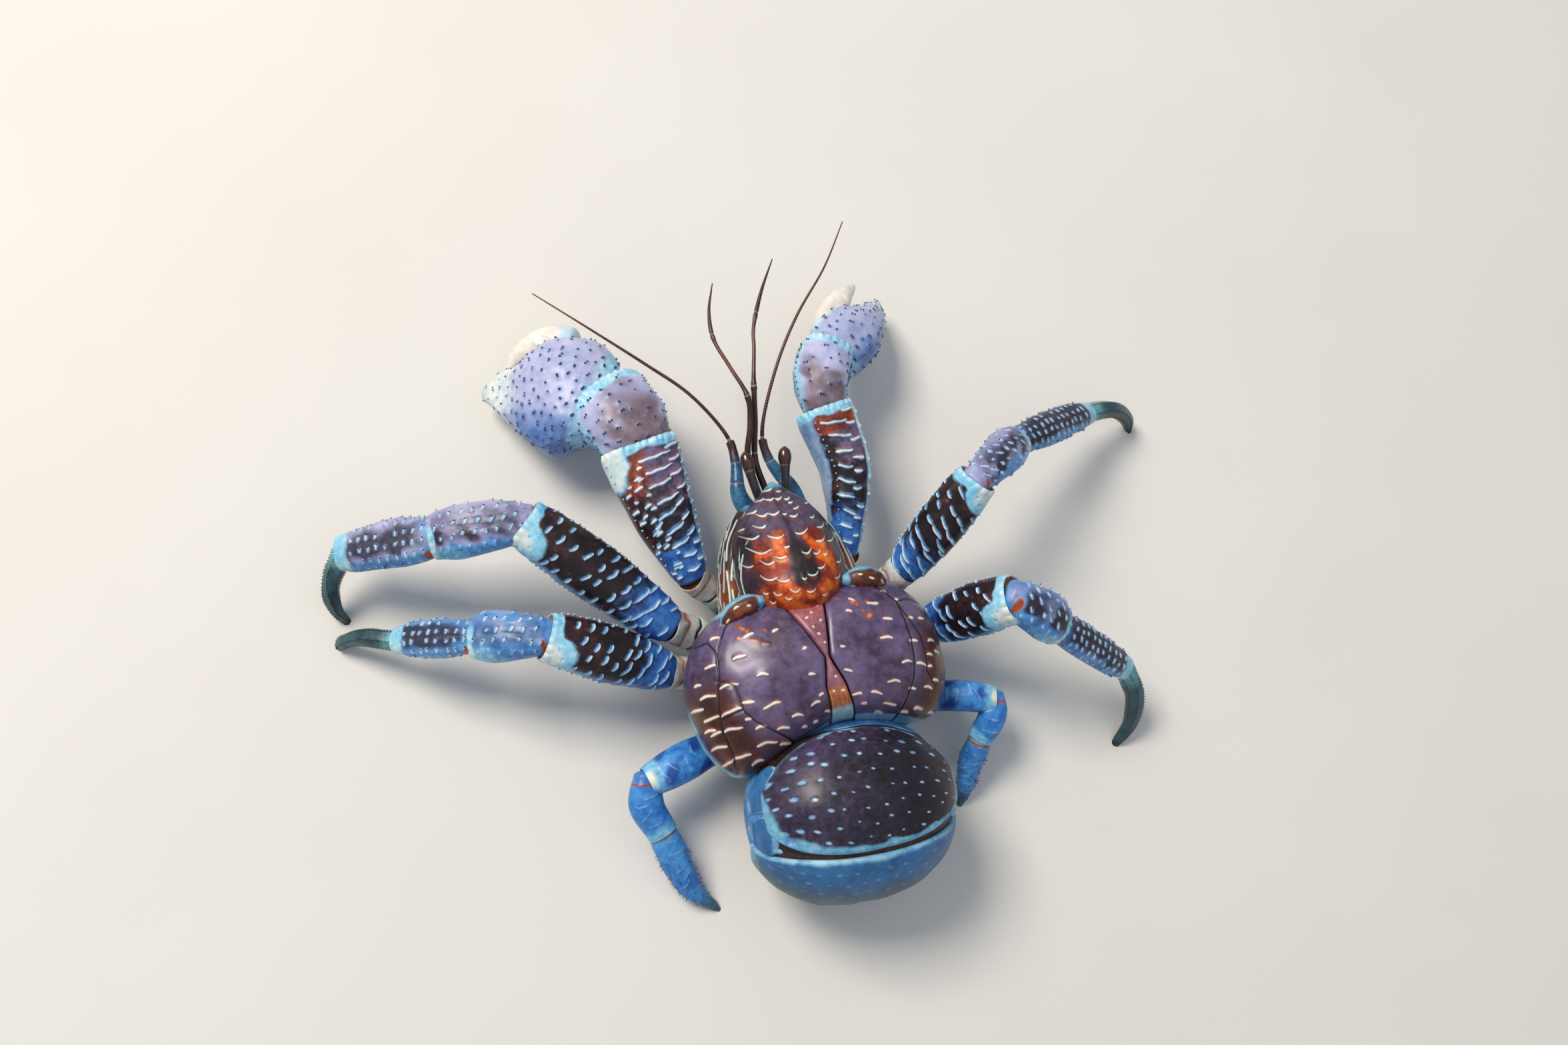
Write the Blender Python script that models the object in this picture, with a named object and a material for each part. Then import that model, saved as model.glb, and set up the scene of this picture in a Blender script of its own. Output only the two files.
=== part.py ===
"""A coconut crab, life size, standing on a floor: shell plates, claws, legs, feelers and tail, each its own solid.

+Y points to the head, +X to the crab's right and +Z up. Places and sizes are in millimetres, measured from the
point of the floor under the middle of the back, until a mesh is made.
"""

import math

import bmesh
import bpy
import numpy as np

MM = 0.001
GAP = 0.3

# Driving sizes of the trunk of the animal.
BACK_HALF_WIDTH = 64.0
BACK_FRONT_Y = 43.0
BACK_REAR_Y = -41.0
BACK_MIDDLE_Z = 46.0
BACK_RISE = 37.0
BACK_DEPTH = 24.0
HEAD_TIP_Y = 99.5
HEAD_REAR_Y = 26.0
HEAD_MIDDLE_Z = 48.0
HEAD_HALF_WIDTH = 28.0
HEAD_RISE = 37.0
TAIL_CENTRE = (-3.0, -66.0, 44.0)
TAIL_HALF = (53.5, 46.0, 46.0)
TAIL_YAW = math.radians(-6.0)

# Joints of each limb, from the body outwards. The last point of a limb is its tip.
CLAW_LEFT = {
    "hip": (-30, 51, 20),
    "shoulder": (-46, 65, 38),
    "elbow": (-57, 134, 52),
    "wrist": (-66.5, 166, 44),
    "tip": (-121.5, 190.5, 13),
}
CLAW_RIGHT = {
    "hip": (26, 50, 20),
    "shoulder": (34, 58, 38),
    "elbow": (40.5, 131, 52),
    "wrist": (53, 163, 44),
    "tip": (97, 192.5, 14),
}
LEGS = {
    "leg2_left": {
        "hip": (-42, 34, 21),
        "shoulder": (-64, 44, 37),
        "knee": (-121.5, 107, 62),
        "wrist": (-164.5, 112, 53),
        "ankle": (-209.5, 120, 30),
        "tip": (-216.5, 92, 0),
    },
    "leg3_left": {
        "hip": (-48, 17, 20),
        "shoulder": (-70, 23, 31),
        "knee": (-124.5, 51, 55),
        "wrist": (-157, 60.5, 46),
        "ankle": (-194, 72, 25),
        "tip": (-223.5, 81, 0),
    },
    "leg2_right": {
        "hip": (41, 33, 21),
        "shoulder": (61, 42, 38),
        "knee": (99.5, 71.5, 78),
        "wrist": (131.5, 88.5, 63),
        "ankle": (188, 101.5, 32),
        "tip": (224, 92.5, 0),
    },
    "leg3_right": {
        "hip": (48, 10, 20),
        "shoulder": (70, 12, 32),
        "knee": (99.5, 9, 79),
        "wrist": (121, -9, 66),
        "ankle": (162, -36.5, 33),
        "tip": (157.5, -73, 0),
    },
}

for old in list(bpy.data.objects):
    bpy.data.objects.remove(old)


def finish(name, colour, roughness):
    """A plain finish with the shell's own colour and roughness. Nothing on the animal is metal."""
    made = bpy.data.materials.new(name)
    made.use_nodes = True
    shader = made.node_tree.nodes["Principled BSDF"]
    shader.inputs["Base Color"].default_value = (*colour, 1.0)
    shader.inputs["Roughness"].default_value = roughness
    shader.inputs["Metallic"].default_value = 0.0
    return made


PURPLE = finish("dark_purple_shell", (0.045, 0.022, 0.040), 0.42)
RUST = finish("rust_shell", (0.19, 0.045, 0.015), 0.42)
BLUE = finish("blue_shell", (0.05, 0.20, 0.50), 0.45)
LAVENDER = finish("lavender_shell", (0.30, 0.34, 0.62), 0.45)
BONE = finish("pale_joint_shell", (0.62, 0.55, 0.46), 0.5)
TEAL = finish("dark_teal_claw_shell", (0.03, 0.10, 0.12), 0.4)
FEELER = finish("brown_feeler_shell", (0.05, 0.028, 0.025), 0.35)
EYE = finish("red_brown_eye", (0.10, 0.010, 0.008), 0.12)

placed = []
crab = bpy.data.objects.new("crab", None)
bpy.context.scene.collection.objects.link(crab)


def place(shape, name, material):
    """An object made of a finished bmesh, its faces turned outwards, parented to the crab's empty."""
    bmesh.ops.triangulate(shape, faces=shape.faces)
    bmesh.ops.recalc_face_normals(shape, faces=shape.faces)
    mesh = bpy.data.meshes.new(name)
    shape.to_mesh(mesh)
    shape.free()
    mesh.materials.append(material)
    made = bpy.data.objects.new(name, mesh)
    made.parent = crab
    bpy.context.scene.collection.objects.link(made)
    return made


def loft(name, rings, ends, material):
    """A closed skin over rings of points, each joined to the next, with a fan of faces round each end point."""
    shape = bmesh.new()
    loops = [[shape.verts.new(point * MM) for point in ring] for ring in rings]
    for loop, following in zip(loops, loops[1:]):
        for j in range(len(loop)):
            shape.faces.new((loop[j - 1], loop[j], following[j], following[j - 1]))
    for tip, loop in zip(ends, (loops[0], loops[-1])):
        pole = shape.verts.new(tip * MM)
        for j in range(len(loop)):
            shape.faces.new((pole, loop[j - 1], loop[j]))
    return place(shape, name, material)


def curve(rows, count):
    """Points at even steps of parameter on a smooth curve through the rows."""
    rows = np.asarray(rows, float)
    padded = np.vstack([2 * rows[0] - rows[1], rows, 2 * rows[-1] - rows[-2]])
    at = np.linspace(0, len(rows) - 1, count)
    first = np.minimum(at.astype(int), len(rows) - 2)
    t = (at - first)[:, None]
    before, start, end, after = (padded[first + k] for k in range(4))
    slope = end - before
    bend = 2 * before - 5 * start + 4 * end - after
    twist = 3 * start - before - 3 * end + after
    return 0.5 * (2 * start + slope * t + bend * t**2 + twist * t**3)


def path(rows, count):
    """The same curve, with its points at even steps of length."""
    dense = curve(rows, 200)
    steps = np.linalg.norm(np.diff(dense, axis=0), axis=1)
    run = np.concatenate([[0], np.cumsum(steps)])
    at = np.linspace(0, run[-1], count)
    return np.stack([np.interp(at, run, dense[:, k]) for k in range(3)], 1)


def sizes_at(stations, share):
    """The station sizes, such as half width, rise and depth, read smoothly at each share of the length."""
    rows = np.asarray(stations, float)
    dense = curve(rows, 30 * len(rows))
    where = np.maximum.accumulate(dense[:, 0])
    return [np.interp(share, where, dense[:, k]) for k in range(1, rows.shape[1])]


def limb(name, centres, stations, material, rings, sides, up=(0, 0, 1), relief=None, square=2.3):
    """A tube along a smooth line. Each station is (share of length, half width, rise above, depth below)."""
    share = np.linspace(0, 1, rings)
    middle = path(centres, rings)
    along = np.gradient(middle, axis=0)
    along /= np.linalg.norm(along, axis=1)[:, None]
    side = np.cross(along, np.asarray(up, float))
    side /= np.linalg.norm(side, axis=1)[:, None]
    top = np.cross(side, along)
    width, rise, depth = sizes_at(stations, share)
    turn = np.arange(sides) * 2 * math.pi / sides
    power = 2 / square
    across = np.sign(np.cos(turn)) * np.abs(np.cos(turn)) ** power
    height = np.sign(np.sin(turn)) * np.abs(np.sin(turn)) ** power
    tall = np.where(height[None] > 0, rise[:, None], depth[:, None])
    out = side[:, None] * (across * width[:, None])[..., None] + top[:, None] * (height * tall)[..., None]
    if relief is not None:
        reach = np.linalg.norm(out, axis=2, keepdims=True)
        out = out * (1 + relief(share[:, None], turn[None, :])[..., None] / reach)
    return loft(name, middle[:, None] + out, (middle[0], middle[-1]), material)


def scale_rows(count, height):
    """Rows of short overlapping scales over the upper side: each rises outwards and drops at its edge."""

    def relief(share, turn):
        sector = np.floor(turn / (math.pi / 3.5))
        step = np.mod(share * count + 0.5 * np.mod(sector, 2), 1.0)
        upper = np.clip(np.sin(turn) * 3 + 1.2, 0, 1)
        ends = np.clip((share - 0.04) * 12, 0, 1) * np.clip((0.9 - share) * 12, 0, 1)
        return height * step**1.5 * upper * ends

    return relief


def knobs(rings, sides, height, rows_apart=2):
    """Staggered low knobs, one at every second point of every second ring."""

    def relief(share, turn):
        ring = np.rint(share * (rings - 1))
        slot = np.rint(turn * sides / (2 * math.pi))
        on = (np.mod(ring, rows_apart) == 1) & (np.mod(slot + (ring - 1) / rows_apart, 2) == 0)
        upper = np.sin(turn) > -0.5
        return height * (on & upper & (ring < rings - 1))

    return relief


def grown(source, by):
    """A copy of the solid with every face moved outwards by this many millimetres."""
    shape = bmesh.new()
    shape.from_mesh(source.data)
    shape.normal_update()
    moves = [v.normal * min(v.calc_shell_factor(), 2.0) * by * MM for v in shape.verts]
    for vertex, move in zip(shape.verts, moves):
        vertex.co += move
    mesh = bpy.data.meshes.new(source.name + "_room")
    shape.to_mesh(mesh)
    shape.free()
    made = bpy.data.objects.new(mesh.name, mesh)
    bpy.context.scene.collection.objects.link(made)
    return made


def box_of(shape):
    points = np.array([v.co for v in shape.data.vertices])
    return points.min(0), points.max(0)


def near(first, second):
    """Whether the boxes of two solids come within the gap of each other."""
    (low_a, high_a), (low_b, high_b) = box_of(first), box_of(second)
    return bool(np.all(low_a - GAP * MM < high_b) and np.all(low_b - GAP * MM < high_a))


def combine(target, tool, operation):
    """Applies a Boolean of the tool to the target, and removes the tool."""
    step = target.modifiers.new(operation, "BOOLEAN")
    step.operation = operation
    step.solver = "EXACT"
    step.object = tool
    bpy.context.view_layer.update()
    graph = bpy.context.evaluated_depsgraph_get()
    mesh = bpy.data.meshes.new_from_object(target.evaluated_get(graph))
    target.modifiers.remove(step)
    old = target.data
    target.data = mesh
    bpy.data.meshes.remove(old)
    bpy.data.objects.remove(tool)


def keep_largest(target):
    """Drops loose scraps and sealed hollows, so that the solid is one closed body."""
    shape = bmesh.new()
    shape.from_mesh(target.data)
    bmesh.ops.remove_doubles(shape, verts=shape.verts, dist=1e-6)
    bmesh.ops.triangulate(shape, faces=shape.faces)
    left = set(shape.faces)
    bodies = []
    while left:
        body, edge = set(), [next(iter(left))]
        while edge:
            face = edge.pop()
            if face in body:
                continue
            body.add(face)
            edge += [f for e in face.edges for f in e.link_faces if f not in body]
        left -= body
        bodies.append(body)
    volume = [sum(f.verts[0].co.dot(f.verts[1].co.cross(f.verts[2].co)) for f in b) for b in bodies]
    main = bodies[int(np.argmax(volume))]
    bmesh.ops.delete(shape, geom=[f for f in shape.faces if f not in main], context="FACES")
    shape.to_mesh(target.data)
    shape.free()


def settle(shape, fitted=()):
    """Cuts a new solid clear of all that is placed already, but those it is fitted to, and places it."""
    for other in placed:
        if other.name not in fitted and near(shape, other):
            combine(shape, grown(other, 1.15 * GAP), "DIFFERENCE")
    keep_largest(shape)
    placed.append(shape)
    return shape


def cut_flat(shape, point, normal):
    """Removes what lies on the normal's side of a plane, and closes the cut."""
    body = bmesh.new()
    body.from_mesh(shape.data)
    parts = body.verts[:] + body.edges[:] + body.faces[:]
    at = [c * MM for c in point]
    bmesh.ops.bisect_plane(body, geom=parts, plane_co=at, plane_no=normal, clear_outer=True)
    rim = [e for e in body.edges if e.is_boundary]
    if rim:
        bmesh.ops.holes_fill(body, edges=rim)
        bmesh.ops.triangulate(body, faces=body.faces)
        bmesh.ops.recalc_face_normals(body, faces=body.faces)
    body.to_mesh(shape.data)
    body.free()
    return shape


def prism(name, outline, low, high, material):
    """An upright prism: the outline of (x, y) points as one face, extruded upwards."""
    shape = bmesh.new()
    base = shape.faces.new([shape.verts.new((x * MM, y * MM, low * MM)) for x, y in outline])
    raised = bmesh.ops.extrude_face_region(shape, geom=[base], use_keep_orig=True)
    corners = [v for v in raised["geom"] if isinstance(v, bmesh.types.BMVert)]
    bmesh.ops.translate(shape, verts=corners, vec=(0, 0, (high - low) * MM))
    return place(shape, name, material)


def copy_of(source, name, material):
    made = source.copy()
    made.data = source.data.copy()
    made.name = name
    made.data.name = name
    made.data.materials.clear()
    made.data.materials.append(material)
    bpy.context.scene.collection.objects.link(made)
    return made


def mirrored(rows):
    return [(-x, y, z) for x, y, z in rows]


def head():
    """The pear-shaped head shield, from the pointed beak to the round rear that sits in the back plates."""
    length = HEAD_TIP_Y - HEAD_REAR_Y
    plan = [
        # y, half width, top and bottom as shares of the full ones
        (99.5, 0.05, 0.15, 0.1),
        (96, 0.20, 0.32, 0.25),
        (90, 0.46, 0.52, 0.5),
        (82, 0.71, 0.69, 0.75),
        (72, 0.91, 0.82, 0.9),
        (60, 1.00, 0.93, 1.0),
        (48, 1.00, 1.00, 1.0),
        (38, 0.88, 0.98, 0.95),
        (31, 0.64, 0.84, 0.8),
        (26, 0.28, 0.54, 0.4),
    ]
    stations = [
        ((HEAD_TIP_Y - y) / length, w * HEAD_HALF_WIDTH, t * HEAD_RISE, b * BACK_DEPTH) for y, w, t, b in plan
    ]
    line = [(3.6, HEAD_TIP_Y, HEAD_MIDDLE_Z), (1, 64, HEAD_MIDDLE_Z), (-1, HEAD_REAR_Y, HEAD_MIDDLE_Z)]
    settle(limb("head_shield", line, stations, RUST, rings=18, sides=24))


def back():
    """The two gill-chamber plates with the narrow hourglass plate between them, cut from one dome."""
    length = BACK_FRONT_Y - BACK_REAR_Y
    plan = [
        (43, 0.56, 0.42, 0.5),
        (39, 0.68, 0.62, 0.75),
        (31, 0.83, 0.82, 1.0),
        (18, 0.95, 0.96, 1.0),
        (2, 1.00, 1.00, 1.0),
        (-14, 0.98, 0.97, 1.0),
        (-27, 0.90, 0.87, 1.0),
        (-36, 0.77, 0.68, 0.8),
        (-41, 0.60, 0.40, 0.5),
    ]
    stations = [
        ((BACK_FRONT_Y - y) / length, w * BACK_HALF_WIDTH, t * BACK_RISE, b * BACK_DEPTH)
        for y, w, t, b in plan
    ]
    line = [(0, BACK_FRONT_Y, BACK_MIDDLE_Z), (0, BACK_REAR_Y, BACK_MIDDLE_Z)]
    dome = limb("dome", line, stations, PURPLE, rings=15, sides=32, square=2.5)
    notch_depth = 15.0
    for vertex in dome.data.vertices:
        x, y = vertex.co.x / MM, vertex.co.y / MM
        rear = min(max((0 - y) / 40, 0), 1)
        vertex.co.y += notch_depth * MM * rear * max(0, 1 - (abs(x) / 52) ** 1.6)
        if x < 0:
            vertex.co.x *= 1.045
            vertex.co.y -= 3.5 * MM * rear * min(1, -x / 30)
        groove = math.exp(-((x / 6) ** 2)) * 1.6 if vertex.co.z / MM > BACK_MIDDLE_Z else 0
        vertex.co.z -= groove * MM
    hourglass = [(-13, 45), (-10.4, 31), (-0.9, 4.5), (-3.8, -14), (-2.9, -45)]
    hourglass += [(9, -45), (5, -15), (0.9, 4.5), (6.9, 31), (9, 45)]
    wider = [(x + math.copysign(GAP, x), y) for x, y in hourglass]
    wedge = copy_of(dome, "back_wedge", RUST)
    combine(wedge, prism("hourglass", hourglass, 68, 110, RUST), "INTERSECT")
    combine(dome, prism("hourglass_room", wider, 68 - GAP, 110, RUST), "DIFFERENCE")
    for side, name in ((-1, "back_plate_left"), (1, "back_plate_right")):
        half = copy_of(dome, name, PURPLE)
        cut_flat(half, (side * GAP / 2, 0, 0), (-side, 0, 0))
        settle(half, fitted=["back_plate_left"])
    bpy.data.objects.remove(dome)
    settle(wedge, fitted=["back_plate_left", "back_plate_right"])


def shoulders():
    """The two small pale-blue plates at the front corners of the back, beside the head."""
    line = [(-42, 32, 60), (-34, 38, 67), (-20, 40, 70)]
    stations = [(0, 2, 3, 3), (0.3, 5, 6, 5), (0.7, 5.5, 6.5, 5), (1, 2.5, 3.5, 3)]
    settle(limb("shoulder_plate_left", line, stations, BLUE, rings=7, sides=10))
    settle(limb("shoulder_plate_right", mirrored(line), stations, BLUE, rings=7, sides=10))


def flanks():
    """The ribbed side plates under the edge of the head shield."""
    line = [(-9, 94, 42), (-22, 74, 39), (-29, 52, 36), (-33, 29, 35)]
    stations = [(0, 2, 4, 4), (0.25, 5.5, 11, 9), (0.65, 6.5, 16, 11), (1, 5, 12, 9)]
    settle(limb("flank_left", line, stations, PURPLE, rings=10, sides=12))
    settle(limb("flank_right", mirrored(line), stations, PURPLE, rings=10, sides=12))


def breast():
    """The breast plate that carries the legs, and the folded mouth limbs in front of it."""
    line = [(0, 62, 21), (0, 20, 18), (0, -34, 19)]
    stations = [(0, 15, 5, 5), (0.15, 24, 7, 7), (0.5, 36, 8, 7.5), (0.85, 36, 7, 7), (1, 26, 5, 5)]
    plate = limb("breast_plate", line, stations, BONE, rings=9, sides=16)
    settle(cut_flat(plate, (0, 0, BACK_MIDDLE_Z - BACK_DEPTH - 1.2), (0, 0, 1)))
    line = [(1.5, 96, 40), (1, 88, 30), (0, 76, 22), (0, 63.5, 19)]
    stations = [(0, 3, 3, 3), (0.3, 9, 8, 7), (0.7, 13, 9, 8), (1, 12, 6, 7)]
    settle(limb("mouth_limbs", line, stations, BLUE, rings=9, sides=14))


def tail():
    """The swollen tail folded under the back: a narrow strip, a dark plate and a blue plate over a soft belly."""
    pivot = (-62.0, 28.0)
    edges = [(-22.0, 30.0), (-30.3, 71.6), (-87.6, 83.0), (-106.0, 23.5), (-22.0, 30.0)]
    names = [("tail_strip", BLUE, 0.93), ("tail_plate_dark", PURPLE, 1.0), ("tail_plate_blue", BLUE, 0.985)]
    names.append(("tail_belly", BLUE, 0.99))

    def egg(name, material, scale):
        """A blunt egg about the crosswise axis, with its poles at the sides."""
        rings, sides = 15, 24
        across = -np.cos(np.linspace(0.12, math.pi - 0.12, rings))
        belt = (1 - np.abs(across) ** 2.3) ** (1 / 2.3)
        turn = np.arange(sides) * 2 * math.pi / sides
        half = np.asarray(TAIL_HALF) * scale
        rows = np.zeros((rings, sides, 3))
        rows[..., 0] = (across * half[0])[:, None]
        rows[..., 1] = belt[:, None] * half[1] * np.cos(turn)
        rows[..., 2] = belt[:, None] * half[2] * np.sin(turn)
        cos, sin = math.cos(TAIL_YAW), math.sin(TAIL_YAW)
        yawed = np.array([[cos, sin, 0], [-sin, cos, 0], [0, 0, 1]])
        ends = np.array([[-half[0] * 0.998, 0, 0], [half[0] * 0.998, 0, 0]])
        return loft(name, rows @ yawed + TAIL_CENTRE, ends @ yawed + TAIL_CENTRE, material)

    def plane(edge, sign):
        """The plane from the pivot line through an edge point, turned with the tail."""
        dy, dz = edge[0] - pivot[0], edge[1] - pivot[1]
        size = math.hypot(dy, dz)
        ny, nz = sign * dz / size, -sign * dy / size
        normal = (-math.sin(TAIL_YAW) * ny, math.cos(TAIL_YAW) * ny, nz)
        offset = (pivot[0] - TAIL_CENTRE[1]) * math.cos(TAIL_YAW)
        at = (TAIL_CENTRE[0], TAIL_CENTRE[1] + offset, pivot[1])
        return tuple(c - n * GAP / 2 for c, n in zip(at, normal)), normal

    for k, (name, material, scale) in enumerate(names):
        plate = egg(name, material, scale)
        cut_flat(plate, *plane(edges[k], 1))
        cut_flat(plate, *plane(edges[k + 1], -1))
        settle(plate, fitted=[name for name, _, _ in names])


def feelers():
    """The eyes on their stalks, the two short feelers and the two long whips, each rooted in the head."""
    bulb = [(0, 2.6, 2.6, 2.6), (0.35, 2.2, 2.2, 2.2), (0.6, 2.5, 2.5, 2.5), (0.8, 3.4, 3.4, 3.4)]
    bulb += [(0.94, 2.6, 2.6, 2.6), (1, 1.0, 1.0, 1.0)]
    left = [(-3.5, 91, 50), (-6, 101, 55), (-6.5, 117, 58)]
    right = [(9, 91, 50), (11, 101, 55), (14, 115, 58)]
    settle(limb("eye_left", left, bulb, EYE, rings=9, sides=8, square=2))
    settle(limb("eye_right", right, bulb, EYE, rings=9, sides=8, square=2))
    whip = [(0, 5, 5, 5), (0.05, 4.6, 4.6, 4.6), (0.13, 3.2, 3.2, 3.2), (0.2, 2.3, 2.3, 2.3)]
    whip += [(0.235, 2.2, 2.2, 2.2), (0.26, 1.05, 1.05, 1.05), (0.6, 0.8, 0.8, 0.8), (1, 0.3, 0.3, 0.3)]
    left = [(-9, 90, 40), (-12.5, 100, 44), (-10, 116, 46), (-11.5, 131.5, 48), (-25, 153.5, 55)]
    left += [(-43.5, 172.5, 60), (-70, 200, 62), (-89.5, 221.5, 60)]
    right = [(17, 88, 38), (14.5, 98, 42), (7, 114.5, 46), (8, 130.5, 50), (22, 157.5, 58)]
    right += [(39, 180.5, 62), (60, 202.5, 63), (78, 226.5, 60)]
    settle(limb("feeler_long_left", left, whip, FEELER, rings=23, sides=6, square=2))
    settle(limb("feeler_long_right", right, whip, FEELER, rings=23, sides=6, square=2))
    short = [(0, 2.0, 2.0, 2.0), (0.15, 1.7, 1.7, 1.7), (0.4, 1.4, 1.4, 1.4), (0.45, 1.7, 1.7, 1.7)]
    short += [(0.5, 1.1, 1.1, 1.1), (0.7, 1.0, 1.0, 1.0), (0.76, 1.2, 1.2, 1.2), (1, 0.3, 0.3, 0.3)]
    left = [(-2.5, 92, 44), (-4.5, 114.5, 52), (0, 130, 58), (2, 144, 62), (-2.5, 161, 62)]
    left += [(-6.5, 177.5, 61), (-4.5, 193, 59), (2, 209, 56)]
    right = [(2.5, 92, 43), (0, 114, 47), (4, 133, 54.5), (8, 152.5, 60), (12.5, 168, 60)]
    right += [(16, 180.5, 59), (25, 198, 58), (36.5, 215.5, 56)]
    settle(limb("feeler_short_left", left, short, FEELER, rings=19, sides=6, square=2))
    settle(limb("feeler_short_right", right, short, FEELER, rings=19, sides=6, square=2))


def claw(side, at, bulk, finger, finger_sizes, palm_line):
    """A claw: pale base, ridged arm, knobbed wrist, swollen palm with the fixed finger, and the loose finger."""
    name = f"claw_{side}"
    arm_line = [at["shoulder"], bulk["arm_middle"], at["elbow"]]
    arm_wide = bulk["arm_half_width"]
    stations = [
        (0, 0.42 * arm_wide, 6.5, 6),
        (0.1, 0.55 * arm_wide, 9, 8),
        (0.45, 0.83 * arm_wide, 12.5, 11),
        (0.8, 1.00 * arm_wide, 13, 12),
        (0.94, 1.04 * arm_wide, 13.5, 12.5),
        (1, 0.98 * arm_wide, 12.5, 11.5),
    ]
    settle(limb(f"{name}_arm", arm_line, stations, PURPLE, rings=25, sides=14, relief=scale_rows(8, 1.3)))
    wrist_wide = bulk["wrist_half_width"]
    stations = [
        (0, 0.62 * wrist_wide, 9, 9),
        (0.2, 0.8 * wrist_wide, 13, 12),
        (0.55, 0.96 * wrist_wide, 16, 14),
        (0.88, wrist_wide, 16, 14),
        (1, 0.93 * wrist_wide, 14, 12),
    ]
    start = tuple(np.asarray(at["elbow"]) - bulk["wrist_overlap"])
    line = [start, bulk["wrist_middle"], at["wrist"]]
    bumps = knobs(11, 14, 0.9)
    settle(limb(f"{name}_wrist", line, stations, LAVENDER, rings=11, sides=14, relief=bumps))
    palm_wide, palm_deep = bulk["palm_half_width"], bulk["palm_half_depth"]
    stations = [(t, w * palm_wide, d * palm_deep, d * palm_deep) for t, w, d in bulk["palm_plan"]]
    bumps = knobs(15, 16, 0.8)
    settle(limb(f"{name}_palm", palm_line, stations, LAVENDER, rings=15, sides=16, relief=bumps))
    settle(limb(f"{name}_finger", finger, finger_sizes, BONE, rings=9, sides=8))
    stations = [(0, 8, 7, 6), (0.5, 7.5, 7, 7), (1, 6.8, 6.8, 6.8)]
    middle = tuple(0.5 * (np.asarray(at["hip"]) + np.asarray(at["shoulder"])) + (0, 0, -2))
    settle(limb(f"{name}_base", [at["hip"], middle, at["shoulder"]], stations, BONE, rings=5, sides=10))


def claws():
    left = {
        "arm_middle": (-53, 99, 47),
        "arm_half_width": 18.8,
        "wrist_overlap": (-2, 6, 0),
        "wrist_middle": (-59.5, 147, 50),
        "wrist_half_width": 22.0,
        "palm_half_width": 32.5,
        "palm_half_depth": 21.0,
        "palm_plan": [
            (0, 0.58, 0.62),
            (0.14, 0.84, 0.88),
            (0.32, 0.99, 1.00),
            (0.5, 0.89, 0.92),
            (0.7, 0.60, 0.66),
            (0.87, 0.32, 0.40),
            (1, 0.11, 0.17),
        ],
    }
    palm_line = [(-65, 160, 43), (-82, 172, 35), (-101, 181, 25), CLAW_LEFT["tip"]]
    finger = [(-72, 203, 26), (-84, 208, 21), (-97, 206.5, 17), (-107.5, 200.5, 15)]
    sizes = [(0, 8, 9, 8), (0.35, 8.5, 8.5, 8), (0.75, 5.8, 6, 6), (1, 2, 2.2, 2.2)]
    claw("left", CLAW_LEFT, left, finger, sizes, palm_line)
    right = {
        "arm_middle": (43.5, 97, 47),
        "arm_half_width": 14.5,
        "wrist_overlap": (-1, 6, 0),
        "wrist_middle": (44, 146, 50),
        "wrist_half_width": 15.0,
        "palm_half_width": 16.5,
        "palm_half_depth": 14.0,
        "palm_plan": [
            (0, 0.75, 0.8),
            (0.2, 0.98, 1.0),
            (0.42, 1.00, 1.0),
            (0.62, 0.74, 0.8),
            (0.82, 0.42, 0.5),
            (1, 0.14, 0.18),
        ],
    }
    palm_line = [(51, 157, 43), (69, 170, 36), (86, 181, 25), CLAW_RIGHT["tip"]]
    finger = [(57, 174, 35), (67, 188, 30), (77, 198, 24), (85, 204, 20)]
    sizes = [(0, 8.5, 8, 8), (0.4, 8, 8, 7.5), (0.75, 5.2, 5.5, 5), (1, 1.8, 2, 2)]
    claw("right", CLAW_RIGHT, right, finger, sizes, palm_line)


def bowed(start, end, lift):
    """The line between two joints with its middle lifted."""
    middle = 0.5 * (np.asarray(start, float) + np.asarray(end, float)) + (0, 0, lift)
    return [start, tuple(middle), end]


def backed(start, end, by):
    """A point this far behind the start of the line to the end."""
    run = np.asarray(end, float) - np.asarray(start, float)
    return tuple(np.asarray(start, float) - run / np.linalg.norm(run) * by)


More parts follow.
